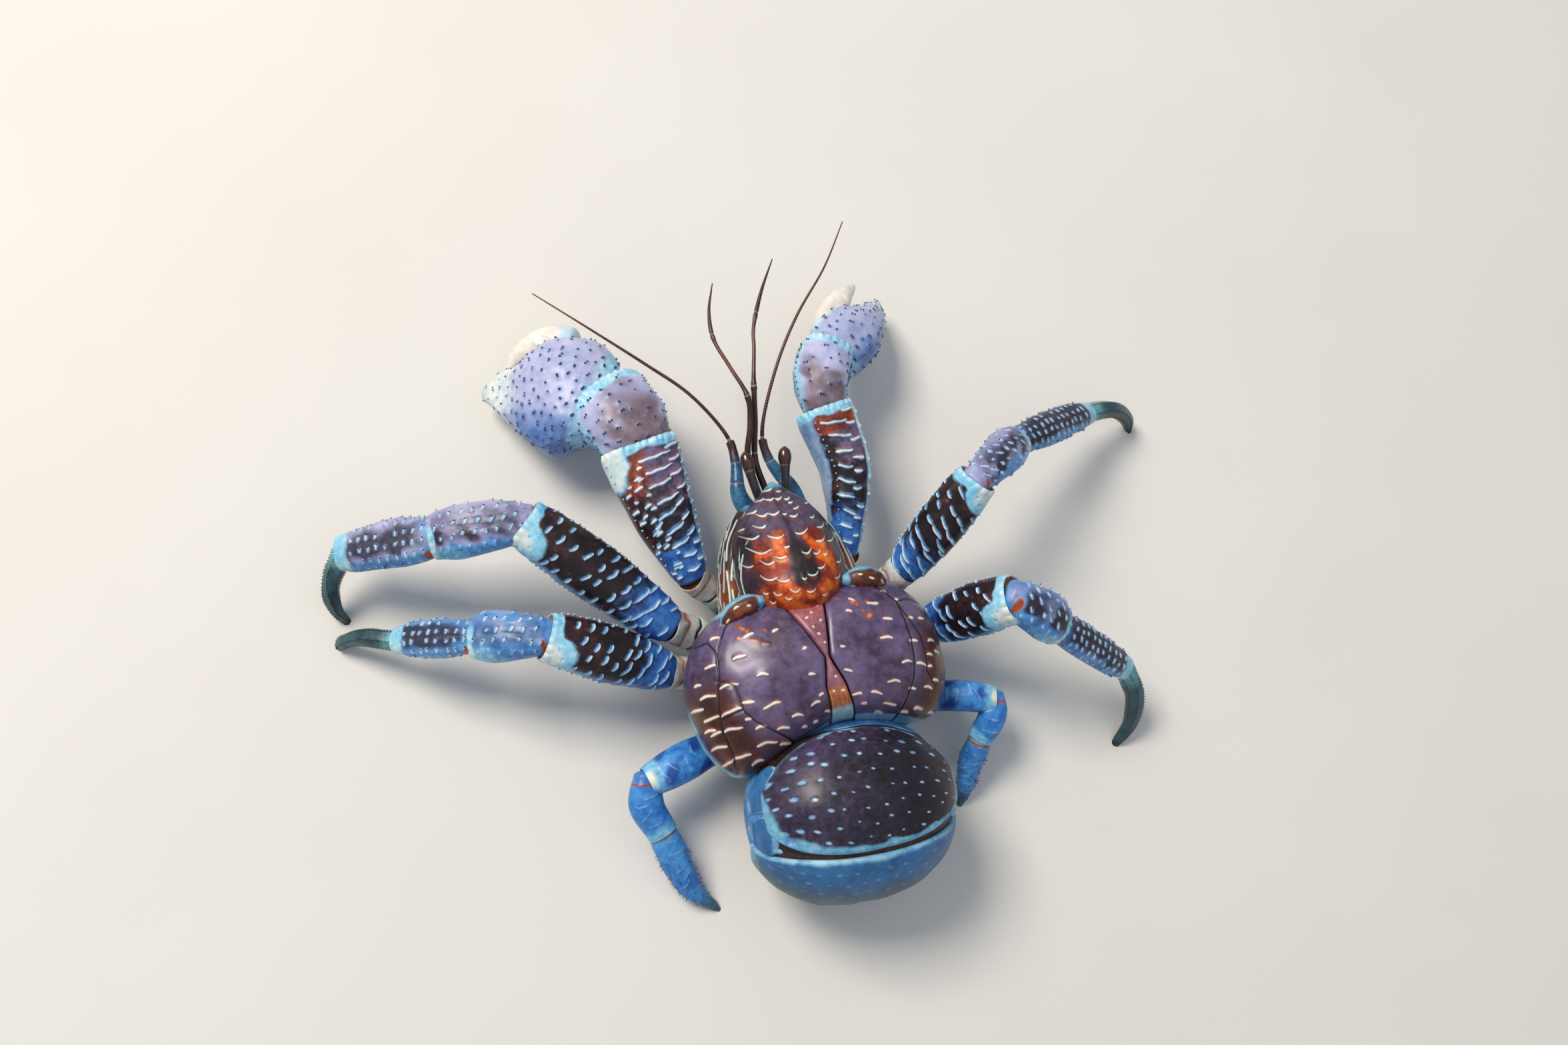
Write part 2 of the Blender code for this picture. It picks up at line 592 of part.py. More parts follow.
def walking_legs():
    """The two large pairs: ridged thigh, short shin, spiny foot segment and the hooked toe."""
    wide = {"leg2_left": 14.3, "leg3_left": 13.8, "leg2_right": 12.2, "leg3_right": 13.3}
    slim = {"leg2_left": 11.8, "leg3_left": 9.3, "leg2_right": 8.7, "leg3_right": 8.8}
    shin = {"leg2_left": 13.2, "leg3_left": 12.4, "leg2_right": 10.6, "leg3_right": 12.3}
    toe_bend = {
        "leg2_left": [(-218.5, 109.5, 21), (-220.5, 99.5, 9)],
        "leg3_left": [(-208.5, 78.5, 18), (-219, 81, 8)],
        "leg2_right": [(206, 102, 24), (219.5, 98, 10)],
        "leg3_right": [(167, -50, 24), (165.5, -64, 10)],
    }
    for name, at in LEGS.items():
        w = wide[name]
        stations = [(0, 0.66, 0.6), (0.12, 0.82, 0.72), (0.5, 1, 0.8), (0.82, 0.95, 0.78), (0.96, 0.86, 0.72)]
        stations = [(t, a * w, b * w, b * w) for t, a, b in [*stations, (1, 0.8, 0.66)]]
        line = bowed(at["shoulder"], at["knee"], 2.5)
        ridges = scale_rows(7, 1.2)
        settle(limb(f"{name}_thigh", line, stations, PURPLE, rings=19, sides=12, relief=ridges))
        w = shin[name]
        stations = [(0, 0.62, 0.55), (0.35, 0.9, 0.75), (0.75, 1, 0.8), (1, 0.84, 0.7)]
        stations = [(t, a * w, b * w, b * w) for t, a, b in stations]
        line = bowed(backed(at["knee"], at["wrist"], 4), at["wrist"], 2.5)
        settle(limb(f"{name}_shin", line, stations, LAVENDER, rings=9, sides=10, relief=knobs(9, 10, 0.8)))
        w = slim[name]
        stations = [(0, 0.8, 0.7), (0.4, 1, 0.8), (0.8, 0.9, 0.75), (1, 0.72, 0.62)]
        stations = [(t, a * w, b * w, b * w) for t, a, b in stations]
        line = bowed(backed(at["wrist"], at["ankle"], 4), at["ankle"], 1)
        settle(limb(f"{name}_foot", line, stations, LAVENDER, rings=11, sides=10, relief=knobs(11, 10, 0.8)))
        sink = np.asarray(at["tip"]) + (0, 0, -1.2)
        line = [backed(at["ankle"], toe_bend[name][0], 3), *toe_bend[name], tuple(sink)]
        stations = [(0, 4.8, 4.8, 4.8), (0.4, 4.3, 4.5, 4.5), (0.75, 3.2, 3.4, 3.4), (1, 1.6, 1.6, 1.6)]
        toe = limb(f"{name}_toe", line, stations, TEAL, rings=11, sides=8, up=(0.3, 0, 1), relief=knobs(11, 8, 0.5))
        settle(cut_flat(toe, (0, 0, 0), (0, 0, -1)))
        stations = [(0, 9, 7, 7), (0.5, 8.6, 7.5, 7.5), (1, 8.2, 7.5, 7.5)]
        settle(limb(f"{name}_base", bowed(at["hip"], at["shoulder"], 0), stations, BONE, rings=5, sides=10))


def small_legs():
    """The slim fourth pair, folded back beside the tail."""
    left = [
        [(-48, -17, 22), (-74, -23, 31), (-93, -27.5, 32)],
        [(-93, -24, 32.5), (-96, -39, 29), (-91.5, -53, 23.5)],
        [(-92.5, -49, 25), (-88, -68, 15), (-83, -83, 8), (-72, -97, -0.8)],
    ]
    right = [
        [(50, -20, 22), (73, -28, 32), (89, -33.5, 33)],
        [(90, -30.5, 33), (86, -42.5, 30), (77.5, -51, 24.5)],
        [(79.5, -49, 26), (72, -61.5, 15), (68.5, -72, 7), (64.5, -80.5, -0.8)],
    ]
    for side, lines, bulk in (("left", left, 1.0), ("right", right, 0.86)):
        thigh = [(0, 8, 7, 7), (0.5, 9.5, 8, 8), (0.9, 8.6, 7.5, 7.5), (1, 7.8, 7, 7)]
        shin = [(0, 6, 5.5, 5.5), (0.4, 8.6, 7, 7), (1, 7.4, 6.4, 6.4)]
        foot = [(0, 6.4, 5.6, 5.6), (0.3, 7.9, 6.2, 6.2), (0.6, 6.6, 5, 5), (0.8, 4.2, 3.4, 3.4)]
        foot.append((1, 1.5, 1.5, 1.5))
        for part, line, sizes, rings in (
            ("thigh", lines[0], thigh, 7),
            ("shin", lines[1], shin, 6),
            ("foot", lines[2], foot, 11),
        ):
            stations = [(t, a * bulk, b * bulk, c * bulk) for t, a, b, c in sizes]
            made = limb(f"leg4_{side}_{part}", line, stations, BLUE, rings=rings, sides=10)
            settle(cut_flat(made, (0, 0, 0), (0, 0, -1)))


def stand_on_floor():
    """Cuts the tail flat where it rests, and centres the footprint on the origin."""
    for shape in placed:
        if box_of(shape)[0][2] < 0:
            cut_flat(shape, (0, 0, 0), (0, 0, -1))
    boxes = np.array([box_of(shape) for shape in placed])
    low, high = boxes[:, 0].min(0), boxes[:, 1].max(0)
    crab.location = (-(low[0] + high[0]) / 2, -(low[1] + high[1]) / 2, 0)
    for shape in placed:
        shape.data.shade_smooth()
        shape.data.set_sharp_from_angle(angle=math.radians(45))


head()
back()
shoulders()
flanks()
breast()
tail()
claws()
walking_legs()
small_legs()
feelers()
stand_on_floor()
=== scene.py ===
import math

import bpy
import numpy as np
from mathutils import Matrix


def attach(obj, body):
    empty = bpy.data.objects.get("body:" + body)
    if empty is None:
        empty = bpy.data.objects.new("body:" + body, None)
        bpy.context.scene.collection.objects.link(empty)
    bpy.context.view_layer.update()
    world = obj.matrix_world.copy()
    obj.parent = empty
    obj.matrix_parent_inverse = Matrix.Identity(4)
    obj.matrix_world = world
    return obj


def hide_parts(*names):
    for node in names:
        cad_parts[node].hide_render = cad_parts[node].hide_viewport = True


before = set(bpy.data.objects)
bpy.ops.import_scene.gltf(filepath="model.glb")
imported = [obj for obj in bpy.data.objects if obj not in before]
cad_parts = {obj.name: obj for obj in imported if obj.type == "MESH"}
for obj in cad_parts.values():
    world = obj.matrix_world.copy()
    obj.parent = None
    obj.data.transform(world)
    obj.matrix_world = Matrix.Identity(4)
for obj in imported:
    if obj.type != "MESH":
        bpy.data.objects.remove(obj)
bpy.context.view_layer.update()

# Head shield
# The hard pear-shaped shield over the head, from the beak between the eyes to the round rear.
# It is limy crab shell: satin, dark purple brown with an orange rear half, and set with small raised
# crescent scales. A lighter lavender laid over its front is a painted sheen. It is one closed skin,
# lofted along the head, with the scales raised in it.

MM = 0.001
# The solids are centred on their footprint; sizes here are measured from under the middle of the back.
FOOTPRINT_SHIFT = np.array([-0.319, -57.397, 0.0])


def curve(rows, count):
    """Points at even steps of parameter on a smooth curve through the rows."""
    rows = np.asarray(rows, float)
    padded = np.vstack([2 * rows[0] - rows[1], rows, 2 * rows[-1] - rows[-2]])
    at = np.linspace(0, len(rows) - 1, count)
    first = np.minimum(at.astype(int), len(rows) - 2)
    t = (at - first)[:, None]
    before, start, end, after = (padded[first + k] for k in range(4))
    slope = end - before
    bend = 2 * before - 5 * start + 4 * end - after
    twist = 3 * start - before - 3 * end + after
    return 0.5 * (2 * start + slope * t + bend * t**2 + twist * t**3)


def path(rows, count):
    """The same curve, with its points at even steps of length."""
    dense = curve(rows, 400)
    steps = np.linalg.norm(np.diff(dense, axis=0), axis=1)
    run = np.concatenate([[0], np.cumsum(steps)])
    at = np.linspace(0, run[-1], count)
    return np.stack([np.interp(at, run, dense[:, k]) for k in range(3)], 1)


def sizes_at(stations, share):
    """The stations' half width, rise above and depth below, read smoothly at each share of the length."""
    rows = np.asarray(stations, float)
    dense = curve(rows, 60 * len(rows))
    where = np.maximum.accumulate(dense[:, 0])
    return [np.interp(share, where, dense[:, k]) for k in range(1, rows.shape[1])]


def outward(points):
    """Unit normals of a grid of closed rings, turned away from each ring's middle."""
    ahead = np.gradient(points, axis=0)
    beside = np.roll(points, -1, axis=1) - np.roll(points, 1, axis=1)
    normal = np.cross(ahead, beside)
    normal /= np.linalg.norm(normal, axis=2, keepdims=True) + 1e-9
    away = points - points.mean(axis=1, keepdims=True)
    side = np.sign(np.sum(normal * away, axis=2).sum(axis=1))[:, None, None]
    return normal * np.where(side == 0, 1, side)


def lumps(points, size, seed):
    """Soft random unevenness, about -1 to 1, with lumps of about the given size in mm."""
    rng = np.random.default_rng(seed)
    total = np.zeros(points.shape[:-1])
    for _ in range(7):
        wave = rng.normal(size=3)
        wave *= rng.uniform(0.6, 1.5) * math.pi / size / np.linalg.norm(wave)
        total = total + np.sin(points @ wave + rng.uniform(0, 6.3) + 0.4 * np.sin(total))
    return np.clip(total / 3.2, -1, 1)


def rounded(turn, power):
    """Shares across and up of a rounded box's outline at each angle."""
    cos, sin = np.cos(turn), np.sin(turn)
    return np.sign(cos) * np.abs(cos) ** power, np.sign(sin) * np.abs(sin) ** power


def tube(centres, stations, rings, sides, up=(0, 0, 1), square=2.3, crowd=1.25, uneven=0.35):
    """A limb's skin as a grid, with its distances in mm along the limb and round it from the top line."""
    share = np.linspace(0, 1, rings)
    middle = path(centres, rings)
    along = np.gradient(middle, axis=0)
    along /= np.linalg.norm(along, axis=1)[:, None]
    side = np.cross(along, np.asarray(up, float))
    side /= np.linalg.norm(side, axis=1)[:, None]
    top = np.cross(side, along)
    width, rise, depth = sizes_at(stations, share)
    q = np.linspace(-1, 1, sides, endpoint=False)
    turn = math.pi / 2 - math.pi * np.sign(q) * np.abs(q) ** crowd
    across, height = rounded(turn, 2 / square)
    tall = np.where(height[None] > 0, rise[:, None], depth[:, None])
    points = middle[:, None] + side[:, None] * (across * width[:, None])[..., None]
    points = points + top[:, None] * (height * tall)[..., None]
    steps = np.linalg.norm(np.roll(points, -1, axis=1) - points, axis=2)
    girth = np.cumsum(steps, axis=1) - steps
    girth = girth - girth[:, sides // 2][:, None]
    length = np.linalg.norm(np.diff(middle, axis=0), axis=1).sum()
    normal = outward(points)
    points = points + normal * (uneven * (lumps(points, 11, 1) + 0.12 * lumps(points, 4, 2)))[..., None]
    return {
        "points": points,
        "normal": normal,
        "along": np.broadcast_to((share * length)[:, None], girth.shape),
        "around": girth,
        "share": np.broadcast_to(share[:, None], girth.shape),
        "turn": np.broadcast_to(turn[None], girth.shape),
        "length": length,
    }


# The rings that close a skin's end: each ring's scale, and its distance beyond the end by the radius.
ROUND_END = [(0.97, 0.08), (0.88, 0.17), (0.74, 0.25), (0.55, 0.31), (0.3, 0.35)]
SOCKET_END = [(0.99, 0.03), (0.955, 0.035), (0.92, -0.02), (0.86, -0.12), (0.6, -0.18), (0.3, -0.2)]


def closed_skin(name, points, masks, start=ROUND_END, end=ROUND_END):
    """One closed mesh in metres from a grid of rings, with its ends rounded over or sunk as sockets."""
    rings = list(points)
    rows = {key: list(np.broadcast_to(mask, points.shape[:2])) for key, mask in masks.items()}
    rows["hollow"] = [np.zeros(points.shape[1]) for _ in rings]
    for profile, first in ((start, True), (end, False)):
        ring = rings[0] if first else rings[-1]
        following = rings[1] if first else rings[-2]
        centre = ring.mean(axis=0)
        direction = centre - following.mean(axis=0)
        direction /= np.linalg.norm(direction) + 1e-9
        radius = np.linalg.norm(ring - centre, axis=1).mean()
        for scale, offset in profile:
            place = 0 if first else len(rings)
            rings.insert(place, centre + (ring - centre) * scale + direction * offset * radius)
            for key, values in rows.items():
                edge = values[0] if first else values[-1]
                values.insert(place, np.full(len(edge), 1.0) if key == "hollow" and offset < 0 else edge)
    grid = np.asarray(rings)
    count, sides = grid.shape[:2]
    poles = np.stack([grid[0].mean(axis=0), grid[-1].mean(axis=0)])
    vertices = (np.vstack([grid.reshape(-1, 3), poles]) + FOOTPRINT_SHIFT) * MM
    i, j = np.meshgrid(np.arange(count - 1) * sides, np.arange(sides), indexing="ij")
    k = (j + 1) % sides
    quads = np.stack([i + j, i + k, i + sides + k, i + sides + j], -1).reshape(-1, 4)
    j = np.arange(sides)
    k = (j + 1) % sides
    low = np.stack([np.full(sides, count * sides), k, j], 1)
    high = np.stack([np.full(sides, count * sides + 1), (count - 1) * sides + j, (count - 1) * sides + k], 1)
    a, b, c, d = (vertices[quads[:, n]] for n in range(4))
    volume = np.sum(a * np.cross(b, c)) + np.sum(a * np.cross(c, d))
    faces = quads.tolist() + low.tolist() + high.tolist()
    if volume < 0:
        faces = [face[::-1] for face in faces]
    mesh = bpy.data.meshes.new(name)
    mesh.from_pydata(vertices.tolist(), [], faces)
    for key, values in rows.items():
        values = np.asarray(values).reshape(-1)
        stored = mesh.attributes.new(key, "FLOAT", "POINT")
        stored.data.foreach_set("value", np.concatenate([values, values[:1], values[-1:]]).astype(np.float32))
    mesh.shade_smooth()
    return in_scene(name, mesh)


def in_scene(name, data):
    """A new object with the given mesh, light or camera, linked to the scene."""
    made = bpy.data.objects.new(name, data)
    bpy.context.scene.collection.objects.link(made)
    return made


def on_crab(piece, material, slot, *nodes):
    """Gives a finished piece its material and its place on the frame."""
    piece.data.materials.clear()
    piece.data.materials.append(material)
    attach(piece, "root")
    if nodes:
        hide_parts(*nodes)
    return piece


def dress(node, points, masks, material, slot, start=ROUND_END, end=ROUND_END):
    """Closes a grid of rings as the skin that takes the place of one node."""
    on_crab(closed_skin(f"{node}_skin", points, masks, start, end), material, slot, node)


def raised(skin, lift):
    """The skin's points moved out by the lift, but never below the floor; kept for what grows on them."""
    relief = skin["points"] + skin["normal"] * lift[..., None]
    relief[..., 2] = np.maximum(relief[..., 2], 0)
    skin["relief"] = relief
    return relief


def ramp(value, low, high):
    """0 below low, 1 above high, and a smooth rise between them; high may be the smaller."""
    t = np.clip((value - low) / (high - low), 0, 1)
    return t * t * (3 - 2 * t)


def bell(distance, width):
    return np.exp(-((distance / width) ** 2))


def unit(value):
    return np.clip(value, 0, 1)


def scales(across, ahead, marks, back=1.6, front=0.35, wide=0.6, shade=-0.9, glow=1.5):
    """Raised scales. Each is (across, ahead, half width, bow, slant, height): its edge is a bowed line.

    Returns their lift, a mask of their edges, and one of the ground beside the edges at the shade distance.
    """
    lift = np.zeros(np.broadcast_shapes(across.shape, ahead.shape))
    edge = np.zeros_like(lift)
    halo = np.zeros_like(lift)
    for x, y, half, bow, slant, height in marks:
        u = (across - x) / half
        v = ahead - (y + slant * (across - x) + bow * (u**2 - 0.35) + 0.2 * np.sin(0.9 * across + 7 * y))
        taper = np.sqrt(np.clip(1 - u**2, 0.0, 1)) + 1e-3
        lift = np.maximum(lift, height * taper * np.where(v < 0, np.exp(v / back), bell(v, front)))
        thick = wide * (0.35 + 0.65 * taper) * (1 + 0.25 * np.clip(u, -1, 1) * math.sin(9 * y))
        edge = np.maximum(edge, np.minimum(1, 3 * taper) * bell(v + 0.1, thick))
        halo = np.maximum(halo, np.clip(1.3 - u**2, 0, 1) * bell(v - shade, glow))
    return lift, edge, halo


def far_scales(across, along, marks, **sizes):
    """The same scales turned round: their raised backs lie on the far side of their edges."""
    turned = [(x, -y, half, -bow, -slant, height) for x, y, half, bow, slant, height in marks]
    return scales(across, -along, turned, **sizes)


def hexed(code):
    """A linear colour from an sRGB hex value."""
    parts = [int(code[k : k + 2], 16) / 255 for k in (1, 3, 5)]
    return tuple(p / 12.92 if p <= 0.04045 else ((p + 0.055) / 1.055) ** 2.4 for p in parts) + (1.0,)


def add(tree, kind, values=None, links=None, **settings):
    """Adds a node with its settings, socket values and links; a linked node gives its first output."""
    made = tree.nodes.new(kind)
    for key, value in settings.items():
        setattr(made, key, value)
    for key, value in (values or {}).items():
        made.inputs[key].default_value = value
    for key, source in (links or {}).items():
        tree.links.new(source.outputs[0] if isinstance(source, bpy.types.Node) else source, made.inputs[key])
    return made


def new_finish(name):
    """A new material, with its tree, its shader and the place of each point on the piece."""
    material = bpy.data.materials.new(name)
    material.use_nodes = True
    tree = material.node_tree
    place = add(tree, "ShaderNodeTexCoord").outputs["Object"]
    return material, tree, tree.nodes["Principled BSDF"], place


def crab_shell(name, ground, layers, roughness=0.4, coat=0.2, pits=0.25, mottle_mm=5.0):
    """Limy crab shell: a mottled ground of two colours, then layers of colour laid on by the skin's masks.

    Each layer is (mask, colour, second colour, how ragged its edge is). Fine pits and a low waviness give
    the satin shine its break-up; the thin clear coat is the waxy outer skin.
    """
    material, tree, shader, place = new_finish(name)
    broad = {"Scale": 0.35 / (mottle_mm * MM), "Detail": 4.0}
    close = {"Scale": 1.6 / (mottle_mm * MM), "Detail": 6.0, "Roughness": 0.65}
    broad, close = (add(tree, "ShaderNodeTexNoise", sizes, {"Vector": place}) for sizes in (broad, close))
    both = add(tree, "ShaderNodeMath", {}, {0: broad, 1: close}, operation="ADD")
    blotch = add(tree, "ShaderNodeMapRange", {"From Min": 0.78, "From Max": 1.22}, {"Value": both})
    ends = {6: hexed(ground[0]), 7: hexed(ground[1])}
    colour = add(tree, "ShaderNodeMix", ends, {0: blotch}, data_type="RGBA").outputs[2]
    shake = add(tree, "ShaderNodeMath", {1: -0.5}, {0: close}, operation="ADD")
    for mask, first, second, ragged in layers:
        drawn = add(tree, "ShaderNodeAttribute", attribute_name=mask).outputs["Fac"]
        edge = add(tree, "ShaderNodeMath", {1: ragged}, {0: shake, 2: drawn}, operation="MULTIPLY_ADD")
        reach = {"From Min": 0.08, "From Max": 0.92}
        cover = add(tree, "ShaderNodeMapRange", reach, {"Value": edge}, interpolation_type="SMOOTHSTEP")
        ends = {6: hexed(first), 7: hexed(second)}
        tint = add(tree, "ShaderNodeMix", ends, {0: blotch}, data_type="RGBA").outputs[2]
        laid = {0: cover, 6: colour, 7: tint}
        colour = add(tree, "ShaderNodeMix", {}, laid, data_type="RGBA").outputs[2]
    gloss = {"To Min": roughness - 0.09, "To Max": roughness + 0.11}
    gloss = add(tree, "ShaderNodeMapRange", gloss, {"Value": close})
    # Pits of about 0.35 mm, with a low waviness of about 4 mm under them.
    grain = add(tree, "ShaderNodeTexNoise", {"Scale": 1 / (0.35 * MM), "Detail": 3.0}, {"Vector": place})
    wave = add(tree, "ShaderNodeBump", {"Strength": 0.35, "Distance": 0.35 * MM}, {"Height": close})
    bump = {"Strength": pits, "Distance": 0.12 * MM}
    fine = add(tree, "ShaderNodeBump", bump, {"Height": grain, "Normal": wave})
    tree.links.new(colour, shader.inputs["Base Color"])
    tree.links.new(gloss.outputs[0], shader.inputs["Roughness"])
    tree.links.new(fine.outputs[0], shader.inputs["Normal"])
    fixed = {"Metallic": 0.0, "IOR": 1.5, "Specular IOR Level": 0.36, "Coat Roughness": 0.22}
    fixed["Coat Weight"] = coat
    for key, value in fixed.items():
        shader.inputs[key].default_value = value
    return material


HEAD_TIP_Y = 99.5
HEAD_REAR_Y = 26.0
HEAD_MIDDLE_Z = 48.0
HEAD_HALF_WIDTH = 28.0
HEAD_RISE = 37.0
BODY_DEPTH = 24.0
# y, then half width, rise and depth as shares of the full ones
HEAD_PLAN = [
    (99.5, 0.05, 0.15, 0.1), (96, 0.20, 0.32, 0.25), (90, 0.46, 0.52, 0.5), (82, 0.71, 0.69, 0.75),
    (72, 0.91, 0.82, 0.9), (60, 1.00, 0.93, 1.0), (48, 1.00, 1.00, 1.0), (38, 0.88, 0.98, 0.95),
    (31, 0.64, 0.84, 0.8), (26, 0.28, 0.54, 0.4),
]


def stations_of(plan, front_y, rear_y, half_width, rise):
    """A body plan by y, turned into stations by share of the length."""
    length = front_y - rear_y
    return [((front_y - y) / length, w * half_width, t * rise, b * BODY_DEPTH) for y, w, t, b in plan]


head_stations = stations_of(HEAD_PLAN, HEAD_TIP_Y, HEAD_REAR_Y, HEAD_HALF_WIDTH, HEAD_RISE)
head_line = [(3.6, HEAD_TIP_Y, HEAD_MIDDLE_Z), (1, 64, HEAD_MIDDLE_Z), (-1, HEAD_REAR_Y, HEAD_MIDDLE_Z)]
head = tube(head_line, head_stations, rings=272, sides=300)
head["points"][..., 0] *= np.where(head["points"][..., 0] > 0, 0.94, 1.0)
x, y, z = np.moveaxis(head["points"], 2, 0)
facing_up = ramp(head["normal"][..., 2], 0.05, 0.3)
# Crescent scales on the shield: x, y and half width of each.
CRESCENTS = [
    (-6.9, 89.5, 2.0), (-3.3, 87.6, 2.3), (1.1, 86.8, 1.9), (5.0, 85.7, 1.6), (3.0, 91.1, 1.4),
    (-1.4, 94.2, 2.6), (5.8, 83.2, 1.3), (7.3, 79.3, 1.8), (14.8, 82.2, 1.6), (-13.2, 84.3, 2.4),
    (-9.5, 80.3, 2.6), (-4.1, 78.9, 2.6), (0.4, 77.2, 1.0), (4.5, 75.1, 2.2), (14.0, 73.3, 1.6),
    (-12.6, 74.6, 2.7), (-18.0, 71.1, 3.7), (-20.2, 78.2, 1.8), (-7.4, 66.5, 3.7), (5.3, 65.6, 3.3),
    (13.5, 60.1, 3.0), (16.5, 67.6, 2.7), (-16.4, 62.3, 4.9), (-14.8, 55.2, 3.0), (-8.6, 55.7, 2.7),
    (-4.4, 59.8, 1.3), (4.1, 55.0, 2.4), (9.2, 53.8, 2.1), (3.9, 43.7, 2.7), (9.2, 46.3, 2.2),
    (-16.3, 47.7, 3.3), (-10.7, 44.6, 2.9), (-19.2, 41.7, 1.1), (-14.3, 39.4, 1.7), (-6.6, 38.5, 2.4),
    (1.0, 36.3, 2.2), (-9.9, 35.8, 1.7), (-0.9, 42.8, 1.1), (-16.9, 37.1, 1.3), (13.4, 52.6, 1.4),
    (19.5, 60.0, 2.4), (20.5, 49.0, 2.0), (-23.0, 58.0, 2.2), (17.0, 41.0, 2.0), (7.5, 33.5, 1.4),
]
marks = [(a, -b, 1.05 * h, -0.7 * h, -0.036 * a, 0.7) for a, b, h in CRESCENTS]
lift, pale, halo = (part * facing_up for part in scales(x, -y, marks, back=2.4, wide=0.5, shade=1.2))
# Long raised lines run back along the sides of the shield.
side_lines = 0
for k in range(5):
    level = 66 - 4.4 * k + 0.2 * (y - 60) + 2.2 * np.sin(y / 10 + 2.3 * k)
    run = ramp(y, 30 + 3 * (k % 3), 36 + 3 * (k % 3)) * ramp(y, 74 - 3 * k, 66 - 3 * k)
    broken = ramp(np.sin(y * 0.26 + 2.6 * k), -0.97, -0.80)
    side_lines = np.maximum(side_lines, bell(z - level, 0.62) * run * broken)
side_lines = side_lines * ramp(head["normal"][..., 2], 0.72, 0.5)
lift = lift + 0.45 * side_lines
pale = np.maximum(pale, side_lines)
# The orange rear half, with a dark wedge standing in it and two arms reaching forward.
STAIN_SPOTS = [(-12, 58, 12), (-6, 64, 8), (9, 61, 9), (11.5, 53, 9), (-15, 48, 9), (13, 44, 8)]
wander = lumps(head["points"], 9, 4)
stain = ramp(y + 1.5 * wander, 49, 42) * ramp(y, 26, 30)
for a, b, r in STAIN_SPOTS:
    stain = np.maximum(stain, ramp(np.hypot(x - a, (y - b) * 0.8) + 1.5 * wander, r, r - 7))
dark_wedge = ramp(np.abs(x - 0.3 + (y - 50) * 0.03) - ramp(y, 68, 45) * 5.5 - 0.8 * wander, 3.6, -1.5)
dark_wedge = dark_wedge * ramp(y + wander, 35, 43)
stain = stain * (1 - 0.92 * dark_wedge) * ramp(np.abs(x), 27, 19)
glow_at = 0.16 + 0.5 * lumps(head["points"], 6, 8) + 0.6 * halo + 0.4 * ramp(y, 46, 32)
lift = lift - 0.35 * bell(np.hypot(x + 11, y - 47), 5) + 0.5 * bell(np.hypot(x + 2, y - 60), 14)
masks = {
    "pale": pale,
    "warm": stain,
    "glow": unit(ramp(stain, 0.1, 1.0) * glow_at),
    "halo": halo * 0.6,
    "rim": ramp(y, 92, 98),
    # The lighter lavender over the front of the shield is a painted sheen.
    "dusk_and_painted_sheen": 0.8 * ramp(y + 3 * wander, 52, 74) * ramp(np.abs(x), 24, 12),
    "dark": 0.9 * dark_wedge,
}
HEAD_SHELL = crab_shell(
    "limy_head_shell",
    ("#23171d", "#41303a"),
    [
        # Lighter lavender for the front of the shield: a painted sheen.
        ("dusk_and_painted_sheen", "#3a3044", "#5c506a", 0.9),
        ("dark", "#160d11", "#26181d", 0.6),
        ("halo", "#6c2410", "#8c3c1c", 0.5),
        ("warm", "#4c0e05", "#98290a", 0.8),
        ("glow", "#bc3408", "#ea781c", 0.8),
        ("rim", "#4f8fb4", "#7fbcd2", 0.5),
        ("pale", "#bfe2e4", "#e9efe2", 0.25),
    ],
    coat=0.15,
)
dress("head_shield", raised(head, lift), masks, HEAD_SHELL, "rust")

# Flanks
# The side walls of the head under the shield's edge: dark shell with long pale raised lines, like ribs.
# Each is one closed skin; the ribs run from front to rear and break here and there.

FLANK_LINE = [(-9, 94, 42), (-22, 74, 39), (-29, 52, 36), (-33, 29, 35)]
FLANK_SIZES = [(0, 2, 4, 4), (0.25, 5.5, 11, 9), (0.65, 6.5, 16, 11), (1, 5, 12, 9)]
RIB_GAP = 3.3
RIB_COUNT = 16
FLANK_SHELL = crab_shell(
    "ribbed_flank_shell",
    ("#1e1114", "#43251f"),
    [
        ("warm", "#7a3416", "#8c4a20", 0.8),
        ("rim", "#4f8fb4", "#7fbcd2", 0.5),
        ("pale", "#bfdfe2", "#e6ecdf", 0.3),
    ],
    roughness=0.42,
)


def both_sides(line):
    """The left line as it is and, mirrored, the right one."""
    return ("left", line), ("right", [(-a, b, c) for a, b, c in line])


for side, line in both_sides(FLANK_LINE):
    wall = tube(line, FLANK_SIZES, rings=124, sides=116, crowd=1.0)
    along, share = wall["along"], wall["share"]
    ribs = np.zeros(along.shape)
    for k in range(RIB_COUNT):
        level = -26 + RIB_GAP * k + 1.0 * np.sin(along / 8.0 + 1.9 * k)
        broken = ramp(np.sin(along * 0.24 + 2.4 * k), -0.95, -0.75)
        ribs = np.maximum(ribs, bell(wall["around"] - level, 0.55) * broken)
    ribs = ribs * ramp(share, 0.04, 0.12) * ramp(share, 1.0, 0.94)
    masks = {"pale": ribs, "warm": 0.8 * bell(share - 0.7, 0.25), "rim": ramp(share, 0.12, 0.0)}
    dress(f"flank_{side}", raised(wall, 0.6 * ribs), masks, FLANK_SHELL, "purple")

# Back plates
# Two big smooth plates roof the gill chambers, with a narrow hourglass plate between them. They are
# purple brown shell with a lavender sheen, thin dark seams, short pale dashes and a pale blue rear edge.
# Each is a closed skin with a D-shaped section; the seams are sunk and the dashes raised in it.

